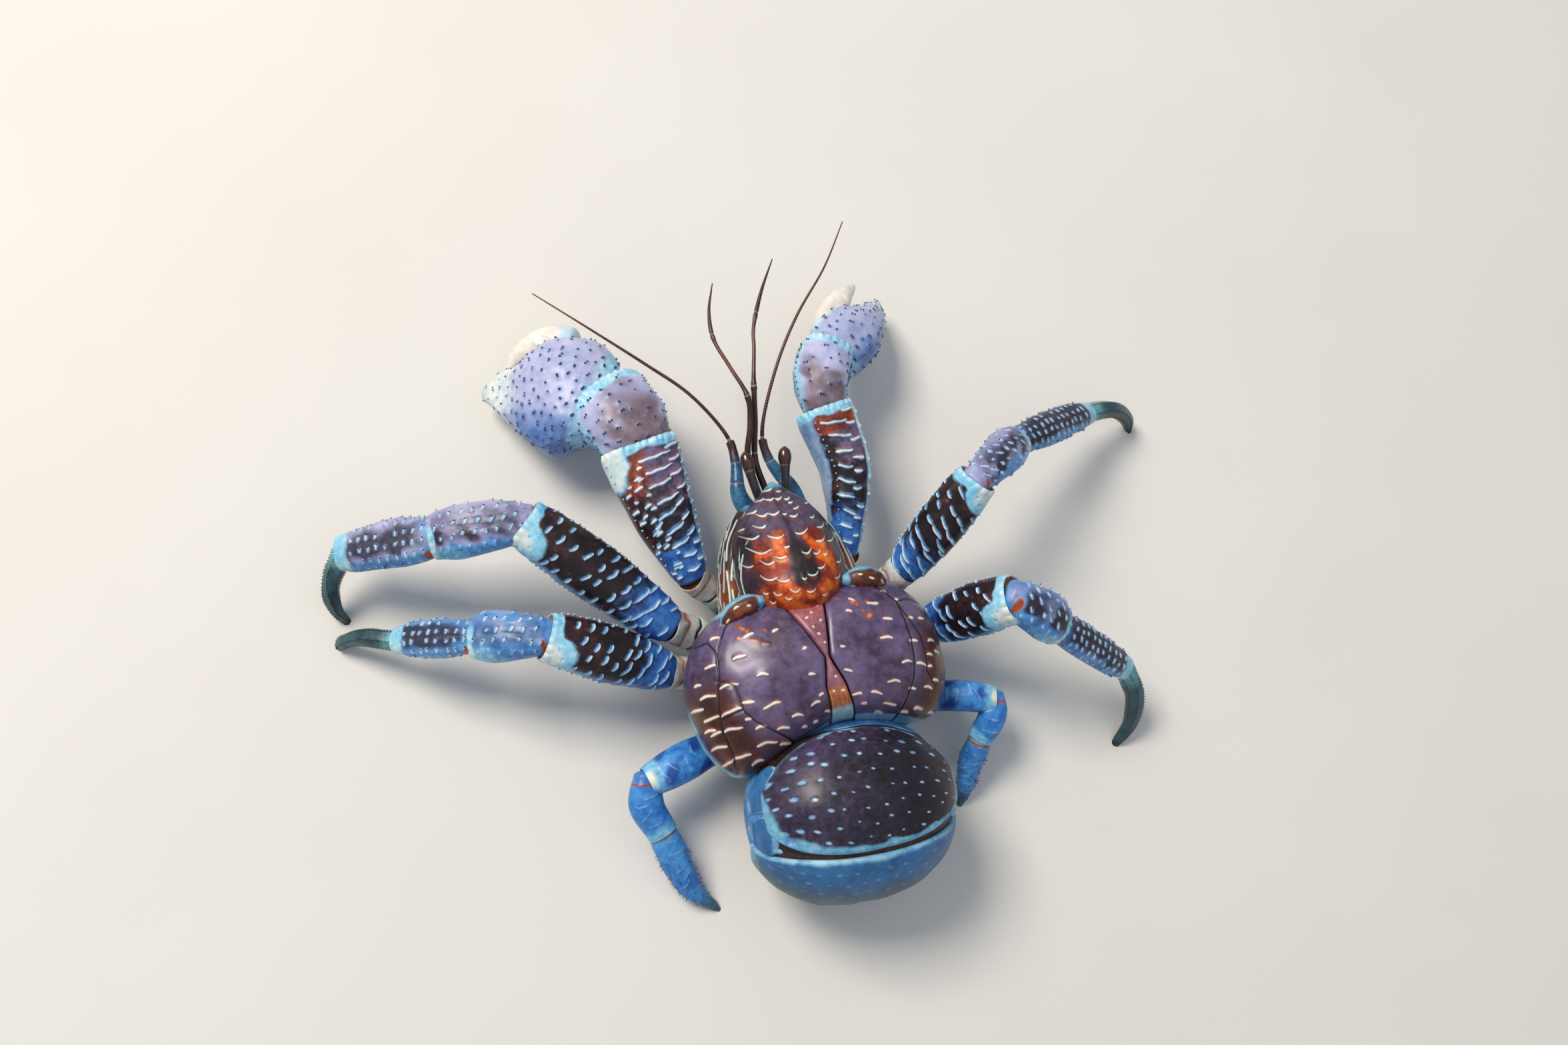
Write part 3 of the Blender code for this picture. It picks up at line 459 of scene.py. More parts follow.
BACK_HALF_WIDTH = 64.0
BACK_FRONT_Y = 43.0
BACK_REAR_Y = -41.0
BACK_MIDDLE_Z = 46.0
BACK_RISE = 37.0
BACK_NOTCH = 15.0
BACK_SQUARE = 2.5
BACK_PLAN = [
    (43, 0.56, 0.42, 0.5), (39, 0.68, 0.62, 0.75), (31, 0.83, 0.82, 1.0), (18, 0.95, 0.96, 1.0),
    (2, 1.00, 1.00, 1.0), (-14, 0.98, 0.97, 1.0), (-27, 0.90, 0.87, 1.0), (-36, 0.77, 0.68, 0.8),
    (-41, 0.60, 0.40, 0.5),
]
back_stations = stations_of(BACK_PLAN, BACK_FRONT_Y, BACK_REAR_Y, BACK_HALF_WIDTH, BACK_RISE)
# Half width of the hourglass plate to the left and to the right, by y.
HOURGLASS = [(46, -13, 9), (31, -10.4, 6.9), (4.5, -0.9, 0.9), (-14, -3.8, 5), (-46, -2.9, 9)]


def hourglass_edge(y, column):
    rows = np.asarray(HOURGLASS)[::-1]
    return np.interp(y, rows[:, 0], rows[:, column])


def back_share(y):
    return (BACK_FRONT_Y - y) / (BACK_FRONT_Y - BACK_REAR_Y)


def back_sizes(y):
    return (float(v[0]) for v in sizes_at(back_stations, np.array([back_share(y)])))


def back_ring(y, start_x, side, count):
    """One section of the back dome from start_x at the top, round the given side, to the underside."""
    width, rise, depth = back_sizes(y)
    power = 2 / BACK_SQUARE
    begin = math.acos(min(1, (abs(start_x) / width)) ** (1 / power)) if start_x else math.pi / 2
    below = count // 6
    turn = np.concatenate([np.linspace(begin, 0, count - below), np.linspace(0, -math.pi / 2, below + 1)[1:]])
    across, height = rounded(turn, power)
    return side * across * width, BACK_MIDDLE_Z + height * np.where(height > 0, rise, depth)


def back_shift(x, y, z):
    """The notch that the tail fills, and the slightly fuller left side."""
    rear = np.clip(-y / 40, 0, 1)
    moved = y + BACK_NOTCH * rear * np.clip(1 - (np.abs(x) / 52) ** 1.6, 0, None)
    wide = np.where(x < 0, x * 1.045, x)
    moved = moved - np.where(x < 0, 3.5 * rear * np.clip(-x / 30, 0, 1), 0)
    return np.stack([wide, moved, z], -1)


def line_distance(x, y, points):
    """Distance in plan from each point to a line of straight runs."""
    best = np.full(x.shape, 1e9)
    for (ax, ay), (bx, by) in zip(points, points[1:]):
        run = (bx - ax) ** 2 + (by - ay) ** 2
        t = np.clip(((x - ax) * (bx - ax) + (y - ay) * (by - ay)) / run, 0, 1)
        best = np.minimum(best, np.hypot(x - ax - t * (bx - ax), y - ay - t * (by - ay)))
    return best


# Seams: lines in plan, as x and y.
SEAMS = {
    "left": [
        [(-38.1, 35.0), (-41.4, 32.4), (-46.6, 25.1), (-49.7, 19.9), (-50.7, 15.4), (-51.5, 9.7),
         (-53.9, 3.6), (-55.6, -7.3), (-56.3, -17.1), (-53.8, -28.8), (-53, -40)],
        [(-52.9, 7.3), (-49.5, 5.9), (-46.0, 2.6), (-45.4, -3), (-45.0, -9.5), (-40.9, -15.9), (-32.4, -23.7),
         (-23.9, -30.2), (-20, -36)],
        [(-66, 27), (-58, 28), (-51.7, 27.4), (-49.5, 20.5)],
        [(-55.2, -11), (-50, -9.5), (-45, -9.5)],
    ],
    "right": [
        [(31, 42), (34.1, 35.3), (43.4, 22.9), (44.2, 12.7), (44.0, 4.2), (42.5, -6.1), (39.7, -15.9),
         (34.2, -24.5), (29.6, -30.2), (27, -36)],
        [(43.4, 22.9), (46.8, 13.4), (50.0, 3.2), (49.9, -5.1), (47.7, -14.0), (51.0, -21.3), (57.9, -19.7),
         (62, -19)],
        [(43.4, 22.9), (50, 24), (57, 20)],
    ],
}
# Short raised dashes: x, y and half width of each.
DASHES = {
    "left": [
        (-40.3, 15.4, 3.5), (-33.1, 24.1, 2.9), (-32.3, 4.1, 2.8), (-9.6, 10.7, 1.2), (-9.9, -2.0, 1.6),
        (-20.3, 23.2, 1.6), (-41.8, 34.1, 1.6), (-47.8, 28.0, 2.3), (-54.0, 15.1, 2.6), (-61.5, 8.4, 1.6),
        (-58.6, 1.6, 3.5), (-48.5, 3.8, 4.7), (-50.5, -8.5, 5.2), (-42.4, -6.5, 3.3), (-31.8, -10.8, 4.4),
        (-21.1, -18.6, 2.9), (-11.6, -15.5, 2.6), (-7.8, -12.3, 1.2), (-51.4, -16.5, 4.7),
        (-43.7, -13.9, 1.7), (-38.9, -19.2, 2.9), (-28.8, -22.5, 3.3), (-18.4, -24.5, 1.4),
        (-12.2, -23.5, 1.6), (-5.7, -20.5, 1.4),
        (-64.7, -2.9, 3.5), (-59.1, -8.8, 3.5), (-59.1, -16.1, 2.3), (-58.9, -22.7, 3.3), (-37.6, -27.1, 5.2),
        (-28.5, -29.8, 3.3), (-50.3, -30.0, 4.7), (-43, -34, 3.2), (-61, -14, 2.4), (-57, -31, 2.6),
    ],
    "right": [
        (16.9, 23.0, 1.6), (20.4, 28.6, 1.4), (30.0, 24.3, 3.0), (34.7, 15.1, 2.6), (38.3, 29.3, 1.4),
        (43.7, 23.6, 1.4), (30.9, 6.2, 3.3), (8.2, 7.2, 1.3), (7.7, -4.5, 1.8), (9.6, -16.2, 2.6),
        (12.5, -21.1, 1.6), (19.3, -18.1, 2.8), (28.4, -14.8, 3.5), (25.2, -24.7, 3.3), (37.4, -7.4, 2.8),
        (44.5, 1.7, 2.3), (45.4, -10.2, 2.9), (37.4, -20.4, 2.1), (49.8, -12.1, 1.4), (54.9, 0.1, 2.3),
        (46.5, -21.7, 2.6), (52.3, -19.3, 2.1), (39.7, -29.8, 2.6), (47.4, -33.3, 2.3), (32.1, -29.5, 2.6),
        (47.5, 13.3, 1.6), (51.6, -6.5, 1.6), (53.5, 12.0, 1.8), (57.0, -6.0, 2.0), (20.0, -27.0, 2.2),
    ],
}
# Worn orange flakes near the front of each plate: x, y, half width and slant.
FLAKES = {
    "left": [
        (-35.0, 28.5, 2.6, 1.2), (-33.0, 26.0, 2.0, -0.8), (-30.5, 21.0, 2.4, 0.9), (-22.5, 30.0, 1.6, -0.6),
        (-26.0, 17.5, 1.5, 0.4), (-24.5, 24.5, 1.2, 1.0), (-17.0, 27.0, 1.0, 0.2), (-38.0, 24.0, 1.6, -0.5),
    ],
    "right": [
        (20.0, 27.0, 1.9, 1.0), (21.5, 25.0, 1.6, -1.1), (27.5, 26.0, 1.8, 0.7), (26.0, 18.5, 2.2, -0.4),
        (24.0, 22.0, 1.2, 1.2), (14.0, 30.5, 1.2, 0.2), (33.0, 20.0, 1.4, -0.6), (17.0, 22.5, 1.0, 0.3),
    ],
}
PLATE_ROWS = 170
PLATE_COLUMNS = 190
SEAM_HALF = 0.48
BACK_SHELL = crab_shell(
    "smooth_back_shell",
    ("#3c2b44", "#6c5c82"),
    [
        ("rust", "#2c110e", "#542418", 0.9),
        ("halo", "#6c2c12", "#a04c1e", 0.6),
        ("rim", "#5c9cbe", "#a8d4dc", 0.6),
        ("pale", "#cfdcda", "#f2efe0", 0.3),
        ("seam", "#0c0609", "#150b10", 0.1),
    ],
    roughness=0.33,
    coat=0.3,
    mottle_mm=9.0,
)
for side, sign, column in (("left", -1, 1), ("right", 1, 2)):
    rings = []
    inner = []
    for row_y in BACK_FRONT_Y - (BACK_FRONT_Y - BACK_REAR_Y) * np.linspace(0, 1, PLATE_ROWS):
        edge = abs(hourglass_edge(row_y, column)) + 0.25
        px, pz = back_ring(row_y, edge, sign, PLATE_COLUMNS)
        px = np.concatenate([px, np.full(8, sign * edge)])
        pz = np.concatenate([pz, np.linspace(pz[-1], pz[0], 10)[1:-1]])
        rings.append(np.stack([px, np.full(px.shape, row_y), pz], -1))
        inner.append(np.abs(px) - edge)
    flat = np.asarray(rings)
    inner = np.asarray(inner)
    plate = back_shift(flat[..., 0], flat[..., 1], flat[..., 2])
    normal = outward(plate)
    x, y, z = np.moveaxis(plate, 2, 0)
    top = ramp(normal[..., 2], 0.02, 0.25) * (z > BACK_MIDDLE_Z)
    tilt = 0.3 if side == "right" else 0.0
    marks = [(a, -b, h, 0.15 * h, tilt + 0.14 * math.sin(5 * a), 0.4) for a, b, h in DASHES[side]]
    lift, pale, halo = scales(x, -y, marks, back=1.3, front=0.5, wide=0.7, shade=-0.3, glow=1.5)
    crumbs = lumps(plate, 2.2, 21)
    flaked = np.zeros(x.shape)
    for a, b, size, lean in FLAKES[side]:
        away = np.hypot((x - a) / 1.5, y - b + 0.5 * lean * (x - a)) + 0.5 * crumbs
        flaked = np.maximum(flaked, ramp(away, 1.1 * size, 0.15 * size))
    lift, pale = lift + 0.2 * flaked, np.maximum(pale, 0.5 * ramp(flaked, 0.7, 1.2))
    distance = np.min([line_distance(x, y, line) for line in SEAMS[side]], axis=0)
    seam = bell(distance, SEAM_HALF)
    lift = (lift * 0.9 - 0.6 * seam - 0.4 * bell(distance, 2.2)) * top
    lift = lift + top * (0.5 * lumps(plate, 15, 6) + 0.05 * lumps(plate, 4, 7))
    share = back_share(flat[..., 1])
    rim = np.maximum(ramp(share, 0.958, 0.985), bell(z - 48, 5.5) * 0.9 * ramp(y, 12, -16))
    rim = np.maximum(rim, ramp(share, 0.075, 0.02) * 0.8)
    outer = ramp(np.abs(x), 38, 56) * ramp(y, 22, -8)
    points = plate + normal * lift[..., None]
    points[..., 2] -= np.where(z > 60, 1.5 * np.exp(-inner / 1.1), 0)
    masks = {
        "pale": pale * top,
        "halo": np.maximum(0.8 * halo, 0.9 * ramp(flaked, 0.0, 0.9)) * top,
        "seam": np.maximum(seam * top, ramp(inner, 0.9, 0.1) * (z > 50)),
        "rim": rim * (1 - 0.9 * seam * top),
        "rust": unit(outer + 0.55 * ramp(y, -8, -30) * ramp(np.abs(x), 10, 34)),
    }
    dress(f"back_plate_{side}", points, masks, BACK_SHELL, "purple")

# The middle plate's rings run across its top and back 9 mm below it.
WEDGE_COLUMNS = 34
WEDGE_SPOTS = [
    (-4, 25, 0.8), (2, 22, 0.7), (-1, 16, 0.8), (0.5, 11, 0.6), (-2.5, 20, 0.6), (-6, 31, 0.9),
    (3, 30, 0.8), (-1, 27, 0.7), (1, -6, 0.6), (3, -13, 0.8), (-1.5, -12, 0.7),
]
WEDGE_SHELL = crab_shell(
    "pink_rust_middle_shell",
    ("#663c4c", "#9a6878"),
    [
        ("front", "#803f44", "#b46c74", 0.9),
        ("rust", "#8a4220", "#c0743c", 0.9),
        ("rim", "#7cb4cc", "#c4dcd8", 0.6),
        ("pale", "#efc898", "#f6e8cc", 0.3),
    ],
    roughness=0.36,
    coat=0.3,
)
rings = []
for row_y in np.linspace(BACK_FRONT_Y - 1.5, BACK_REAR_Y + 1.0, 150):
    low, high = hourglass_edge(row_y, 1) + 0.2, hourglass_edge(row_y, 2) - 0.2
    across = np.linspace(low, high, WEDGE_COLUMNS)
    width, rise, _ = back_sizes(row_y)
    height = (1 - (np.abs(across) / width) ** BACK_SQUARE) ** (1 / BACK_SQUARE)
    level = BACK_MIDDLE_Z + rise * height - 1.3 * np.exp(-np.minimum(across - low, high - across) / 0.8)
    ring_x = np.concatenate([across, across[::-1]])
    ring_z = np.concatenate([level, level[::-1] - 9])
    rings.append(back_shift(ring_x, np.full(2 * WEDGE_COLUMNS, row_y), ring_z))
strip = np.asarray(rings)
x, y, z = np.moveaxis(strip, 2, 0)
pale = scales(x, -y, [(a, -b, h, 0.2, 0.1, 0.2) for a, b, h in WEDGE_SPOTS])[1]
rear = ramp(y, -6, -14)
masks = {
    "pale": np.maximum(pale, 0.3 * ramp(np.sin(2.6 * x + 0.2 * y), 0.5, 1) * rear),
    "front": 0.8 * ramp(y, 12, 30),
    "rust": 0.8 * rear,
    "rim": ramp(y, -17.5, -22.5),
}
dress("back_wedge", strip, masks, WEDGE_SHELL, "rust")

# Shoulder plates
# Two small lobes of pale blue shell at the front corners of the back, one each side of the head.
# Each is a short closed skin with an upturned pale edge and a rusty middle.

SHOULDER_LINE = [(-42, 32, 60), (-34, 38, 67), (-20, 40, 70)]
SHOULDER_SIZES = [(0, 2, 3, 3), (0.3, 5, 6, 5), (0.7, 5.5, 6.5, 5), (1, 2.5, 3.5, 3)]
SHOULDER_SHELL = crab_shell(
    "pale_blue_shoulder_shell",
    ("#3f8cb4", "#8ccade"),
    [
        ("warm", "#3c1a16", "#6c3822", 0.8),
        ("glow", "#6c3018", "#8c4c26", 0.9),
        ("pale", "#e4e0c4", "#f0ecd8", 0.2),
    ],
)
for side, line in both_sides(SHOULDER_LINE):
    lobe = tube(line, SHOULDER_SIZES, rings=70, sides=80)
    share, lean = lobe["share"], np.cos(lobe["turn"]) * (-1 if side == "left" else 1)
    wander = lumps(lobe["points"], 4, 5)
    warm = ramp(lobe["normal"][..., 2] + 0.2 * wander, 0.15, 0.45) * ramp(lean + 0.15 * wander, 0.7, 0.3)
    warm = warm * ramp(share, 0.12, 0.22) * ramp(share, 0.95, 0.85)
    marks = [(8, 0, 1.4, 0.2, 0, 0.35), (14, -1, 1.2, 0.2, 0, 0.35), (19, 1, 1, 0.2, 0, 0.35)]
    lift, pale, _ = scales(lobe["along"], lobe["around"], marks)
    lift = lift - 0.5 * warm + 0.5 * bell(lean - 0.55, 0.15)
    masks = {"pale": pale, "warm": warm, "glow": warm * ramp(wander, 0.1, 0.8)}
    dress(f"shoulder_plate_{side}", raised(lobe, lift), masks, SHOULDER_SHELL, "blue")

# Breast plate and mouth limbs
# Under the body, the bone-white breast plate carries the legs, and the folded blue mouth limbs lie in
# front of it. Both are closed skins with shallow cross grooves between their segments.

BONE_SHELL = crab_shell(
    "bone_white_joint_shell",
    ("#b4b6b6", "#dedfd8"),
    [
        ("blue", "#35709c", "#6fa4c0", 1.0),
        ("warm", "#7c3f20", "#b4703c", 1.0),
        ("dark", "#140f12", "#241b20", 0.5),
        ("hollow", "#5a2c18", "#8c5230", 0.3),
    ],
    roughness=0.45,
    coat=0.1,
)
MOUTH_SHELL = crab_shell(
    "blue_mouth_limb_shell",
    ("#2f69a0", "#5b9cc4"),
    [("warm", "#6a2c18", "#8c4420", 0.7), ("pale", "#bfe0e6", "#e0efe8", 0.2)],
)
BREAST_LINE = [(0, 62, 21), (0, 20, 18), (0, -34, 19)]
BREAST_SIZES = [(0, 15, 4, 5), (0.15, 24, 4, 7), (0.5, 36, 4, 7.5), (0.85, 36, 4, 7), (1, 26, 3, 5)]
MOUTH_LINE = [(1.5, 96, 40), (1, 88, 30), (0, 76, 22), (0, 63.5, 19)]
MOUTH_SIZES = [(0, 3, 3, 3), (0.3, 9, 8, 7), (0.7, 13, 9, 8), (1, 12, 6, 7)]
plate = tube(BREAST_LINE, BREAST_SIZES, rings=80, sides=90, crowd=1.0)
x = plate["points"][..., 0]
groove = np.maximum(bell(np.mod(plate["along"] + 9, 18) - 9, 0.8), bell(x, 0.7))
groove = groove * ramp(plate["normal"][..., 2], 0.0, -0.4)
masks = {"blue": 0.75 * ramp(np.abs(x), 16, 32), "warm": groove}
dress("breast_plate", raised(plate, -0.9 * groove), masks, BONE_SHELL, "bone")
jaws = tube(MOUTH_LINE, MOUTH_SIZES, rings=80, sides=80, crowd=1.0)
along = jaws["along"]
groove = np.maximum(bell(np.mod(along + 5, 10) - 5, 0.6), bell(jaws["points"][..., 0] - 0.5, 0.8))
masks = {"warm": groove, "pale": 0.6 * bell(np.mod(along, 10) - 7.5, 0.7)}
dress("mouth_limbs", raised(jaws, -1.0 * groove), masks, MOUTH_SHELL, "blue")

# Tail
# The swollen tail is folded under the body, so that its last plates face back. A dark, glossy,
# spotted plate with a blue rim lies over a blue one; between and below them is soft dark skin.
# Each plate is a curved closed slab on one blunt egg, and the soft skin is a slightly smaller egg.

TAIL_CENTRE = np.array([-3.0, -66.0, 44.0])
TAIL_HALF = np.array([53.5, 46.0, 46.0])
TAIL_YAW = math.radians(-6.0)
EGG_SQUARE = 2.3


def egg(u, turn, scale=1.0):
    """Points on the tail's egg: u runs from its left end to its right end, turn from front over the top."""
    belt = np.clip(1 - np.abs(u) ** EGG_SQUARE, 1e-6, 1) ** (1 / EGG_SQUARE)
    half = TAIL_HALF * scale
    flat = np.stack([u * half[0], belt * half[1] * np.cos(turn), belt * half[2] * np.sin(turn)], -1)
    cos, sin = math.cos(TAIL_YAW), math.sin(TAIL_YAW)
    yawed = np.array([[cos, sin, 0], [-sin, cos, 0], [0, 0, 1]])
    return flat @ yawed + TAIL_CENTRE


def tail_plate(left, right, first, last, corners, scale, thick, rows, columns):
    """A curved slab on the egg between two angles; corners says how square each long edge is at its ends.

    Returns its rings, their distance in mm from the slab's edge, and their places on the egg.
    """
    t = np.sin(np.linspace(-1, 1, rows) * math.pi / 2)
    u = (left + right) / 2 + (right - left) / 2 * t
    low, high = (np.clip(1 - np.abs(t) ** corner, 0.0004, 1) ** (1 / corner) for corner in corners)
    middle, half = (first + last) / 2, (last - first) / 2
    v = np.linspace(-1, 1, columns)
    reach = np.where(v[None] < 0, low[:, None], high[:, None])
    arc = np.radians(middle + half * reach * v[None])
    edge_mm = np.minimum(1 - np.abs(v)[None], 1) * np.radians(half) * reach * 46
    side_mm = np.broadcast_to((1 - np.abs(t))[:, None] * (right - left) / 2 * 50, edge_mm.shape)
    edge_mm = np.minimum(edge_mm, side_mm)
    roll = thick * np.exp(-edge_mm / 1.4)
    across = u[:, None] + 0 * arc
    face, centre = egg(across, arc), egg(across, arc, 0.5)
    outer = centre + (face - centre) * (2 * (scale - roll[..., None]) - 1)
    inner = centre + (face - centre) * (2 * (scale - 1.6 * thick) - 1)
    few = np.linspace(columns - 1, 0, columns // 9).astype(int)
    ring = np.concatenate([outer, inner[:, few]], axis=1)
    edge = np.concatenate([edge_mm, np.zeros((rows, len(few)))], axis=1)
    return ring, edge, u[:, None] + 0 * ring[..., 0], np.concatenate([arc, arc[:, few]], axis=1)


TAIL_DARK = crab_shell(
    "glossy_dark_tail_shell",
    ("#100a11", "#211726"),
    [
        # Lighter purple towards the left end and the front of the dark plate: a painted sheen.
        ("dusk_and_painted_sheen", "#342a46", "#4e4264", 0.9),
        ("rim", "#3f84b0", "#7cb8cc", 0.6),
        ("lip", "#7ab4c8", "#b4d4d0", 0.5),
        ("spot", "#5c8cbc", "#a8cce4", 0.5),
    ],
    roughness=0.38,
    coat=0.15,
)
rng = np.random.default_rng(11)
ring, edge, u, arc = tail_plate(-0.875, 0.975, 37, 119.5, (2.5, 4.2), 1.0, 0.035, 192, 140)
px = u * 50
py = (np.degrees(arc) - 78) * 0.8
# Rows of pale spots, larger to the left and to the rear.
SPOT_GAP = 8.0
spot = np.zeros(px.shape)
for row in range(8):
    for column in range(12):
        sx = -46 + column * 8.2 + (row % 2) * 4.1 + rng.uniform(-1.6, 1.6)
        sy = -29 + row * SPOT_GAP + rng.uniform(-1.6, 1.6)
        large = 0.8 + 1.1 * ramp(sx, 0, -36) + 0.5 * ramp(sy, 0, -26) + 0.3 * ramp(sx, 12, 44)
        size, lean = rng.uniform(0.7, 1.15) * large, rng.uniform(-0.5, 0.1)
        away = np.hypot((px - sx) * 0.72 + lean * (py - sy), py - sy)
        spot = np.maximum(spot, ramp(away, 1.15 * size, size * 0.2))
spot = spot * ramp(edge, 2.0, 4.0)
margin = 2.4 + 4.5 * ramp(px, -4, -40) * ramp(py, -12, 22) + 1.8 * ramp(py, 12, 30)
wander = lumps(ring, 6, 12)
lift = -0.2 * spot + 0.5 * bell(edge - 2.0, 1.2) + 0.45 * lumps(ring, 16, 13) + 0.05 * lumps(ring, 5, 14)
points = ring + outward(ring) * (lift * (edge > 0))[..., None]
masks = {
    "spot": spot,
    "rim": ramp((edge + 0.9 * wander) / margin, 1.35, 0.6),
    "lip": 0.8 * ramp(edge + 0.5 * wander, 1.8, 0.6),
    # Lighter purple towards the left end and the front: a painted sheen on the dark plate.
    "dusk_and_painted_sheen": unit(0.6 * ramp(-px + 5 * wander, -40, 50) + 0.3 * ramp(py, -4, -32)),
}
dress("tail_plate_dark", points, masks, TAIL_DARK, "purple", [], [])

TAIL_BLUE = crab_shell(
    "blue_tail_shell",
    ("#1c5488", "#3474a8"),
    [
        ("low", "#2c4a5c", "#446474", 0.8),
        ("rim", "#5f9fc8", "#9ccadc", 0.7),
        ("spot", "#6ca4c4", "#8cbccc", 0.4),
        ("dusk_and_painted_sheen", "#33519a", "#5a7cba", 0.8),
    ],
    roughness=0.46,
    coat=0.05,
    mottle_mm=8.0,
)
ring, edge, u, arc = tail_plate(-0.987, 0.989, 123.5, 226, (5.0, 3.0), 0.992, 0.035, 180, 132)
px = u * 50
py = np.degrees(arc) - 124
spot = np.zeros(px.shape)
for row, sy in enumerate((10, 19, 30, 44)):
    for column in range(13):
        sx = -46 + column * 7.6 + (row % 2) * 3.8 + rng.uniform(-1, 1)
        away = np.hypot((px - sx) * 0.7, (py - sy + rng.uniform(-1, 1)) * 0.8)
        spot = np.maximum(spot, ramp(away, 1.5, 0.4))
wander = lumps(ring, 9, 15)
points = ring + outward(ring) * ((0.4 * bell(edge - 2.0, 1.4) + 0.35 * wander) * (edge > 0))[..., None]
masks = {
    "spot": 0.45 * spot * ramp(edge, 3.0, 5.5),
    "rim": 0.8 * ramp(edge + wander, 4.5, 0.2),
    "low": ramp(py + 5 * wander, 14, 44),
}
dress("tail_plate_blue", points, masks, TAIL_BLUE, "blue", [], [])
ring, edge, u, arc = tail_plate(-0.86, 0.86, 10, 33.5, (3.0, 3.0), 0.955, 0.03, 120, 50)
masks = {"rim": ramp(edge, 2.6, 0.9), "dusk_and_painted_sheen": 0.7 * bell(np.degrees(arc) - 22, 7)}
dress("tail_strip", ring, masks, TAIL_BLUE, "blue", [], [])

# Small plates at the tail's sides: left and right end, first and last angle, and scale of each.
SIDE_LOBES = [
    (-0.99, -0.68, 36, 83, 0.985), (-0.999, -0.80, 85, 131, 0.99), (-0.90, -0.78, 118.5, 124.5, 0.985),
    (0.84, 0.985, 26, 58, 0.975), (0.90, 0.992, 112, 130, 0.985),
]
PALE_LOBE = 2
for k, (left, right, first, last, scale) in enumerate(SIDE_LOBES):
    ring, edge, u, arc = tail_plate(left, right, first, last, (2.2, 2.2), scale, 0.04, 50, 44)
    rim = 1 if k == PALE_LOBE else ramp(edge, 2.6, 0.8)
    masks = {"rim": rim, "dusk_and_painted_sheen": 0.5 * ramp(lumps(ring, 5, k), 0, 0.8)}
    on_crab(closed_skin(f"tail_side_lobe_{k + 1}", ring, masks, [], []), TAIL_BLUE, "blue")

SOFT_SKIN = crab_shell(
    "dark_soft_tail_skin",
    ("#1a0f0b", "#33201a"),
    [
        ("blue", "#2a4c70", "#3f6c90", 0.9),
        ("side", "#2a64a0", "#5494c6", 0.7),
        ("pale", "#8c6a52", "#a88468", 0.6),
    ],
    roughness=0.5,
    coat=0.1,
    pits=0.5,
)
t = np.sin(np.linspace(-1, 1, 110) * math.pi / 2)[:, None] * 0.985
turn = np.linspace(0, 2 * math.pi, 130, endpoint=False)[None]
sack = egg(t + 0 * turn, turn + 0 * t, 0.945)
wrinkle = np.sin(np.degrees(turn) * 0.35 + 3 * np.sin(t * 5)) * 0.35
below = ramp(sack[..., 2], 30, 12)
sack = sack + outward(sack) * (wrinkle * (0.4 + below))[..., None]
grow = (1 + 0.02 * ramp(sack[..., 2], 30, 15))[..., None]
sack = TAIL_CENTRE + (sack - TAIL_CENTRE) * grow
sack[..., 2] = np.maximum(sack[..., 2], 0.0)
gap = bell(np.degrees(turn) - 122.5, 1.0) * ramp(t, -0.9, -0.7)
masks = {"blue": 0.9 * below, "side": ramp(t + 0 * turn, -0.82, -0.92), "pale": 0.25 * below + 0.4 * gap}
dress("tail_belly", sack, masks, SOFT_SKIN, "blue", [], [])

# Claws
# Each claw is five shells in a row: bone-white base, ridged arm, knobbed wrist, swollen palm with its
# fixed finger, and the cream loose finger. The left claw is the large one. The arm is near black with
# rows of pale raised ridges, blue at its root; wrist and palm are lavender with dark-tipped studs.

ARM_SHELL = crab_shell(
    "ridged_arm_shell",
    ("#10080c", "#24141b"),
    [
        ("dusk_and_painted_sheen", "#43364c", "#74648a", 0.9),
        ("rosy", "#6c3c40", "#96646c", 0.5),
        ("warm", "#3a120c", "#943a1a", 0.8),
        ("blue", "#1a4290", "#3c78c0", 0.9),
        ("face", "#5f86b4", "#98b2d2", 0.7),
        ("rim", "#5cb0d8", "#a4dcf0", 0.5),
        ("bone", "#b4d6e0", "#eae8dc", 0.7),
        ("glow", "#3a76b4", "#74aedc", 0.4),
        ("pale", "#94c4e8", "#eaf2f4", 0.4),
        ("hollow", "#b4581c", "#d8a06a", 0.3),
    ],
    coat=0.12,
)
PALM_SHELL = crab_shell(
    "lavender_palm_shell",
    ("#97a2cb", "#bcbcdd"),
    [
        ("warm", "#52434c", "#84707a", 0.9),
        # The blue layer is the palm's own bluer inner side, and painted shade low on the sides and round the
        # studs.
        ("blue", "#4866a8", "#7a9ed0", 0.9),
        ("rim", "#78bce0", "#b4e0f0", 0.6),
        ("bone", "#b0c4cc", "#e0e6e2", 0.8),
        ("pale", "#a8d0ec", "#d4e8f4", 0.4),
        ("hollow", "#b4581c", "#d8a06a", 0.3),
    ],
    roughness=0.42,
    coat=0.15,
    pits=0.35,
)
FINGER_SHELL = crab_shell(
    "cream_finger_shell",
    ("#d6cfc4", "#ece8e0"),
    [("blue", "#8cb8d8", "#bcd8e8", 0.8), ("warm", "#8c6a44", "#a88658", 0.8)],
)


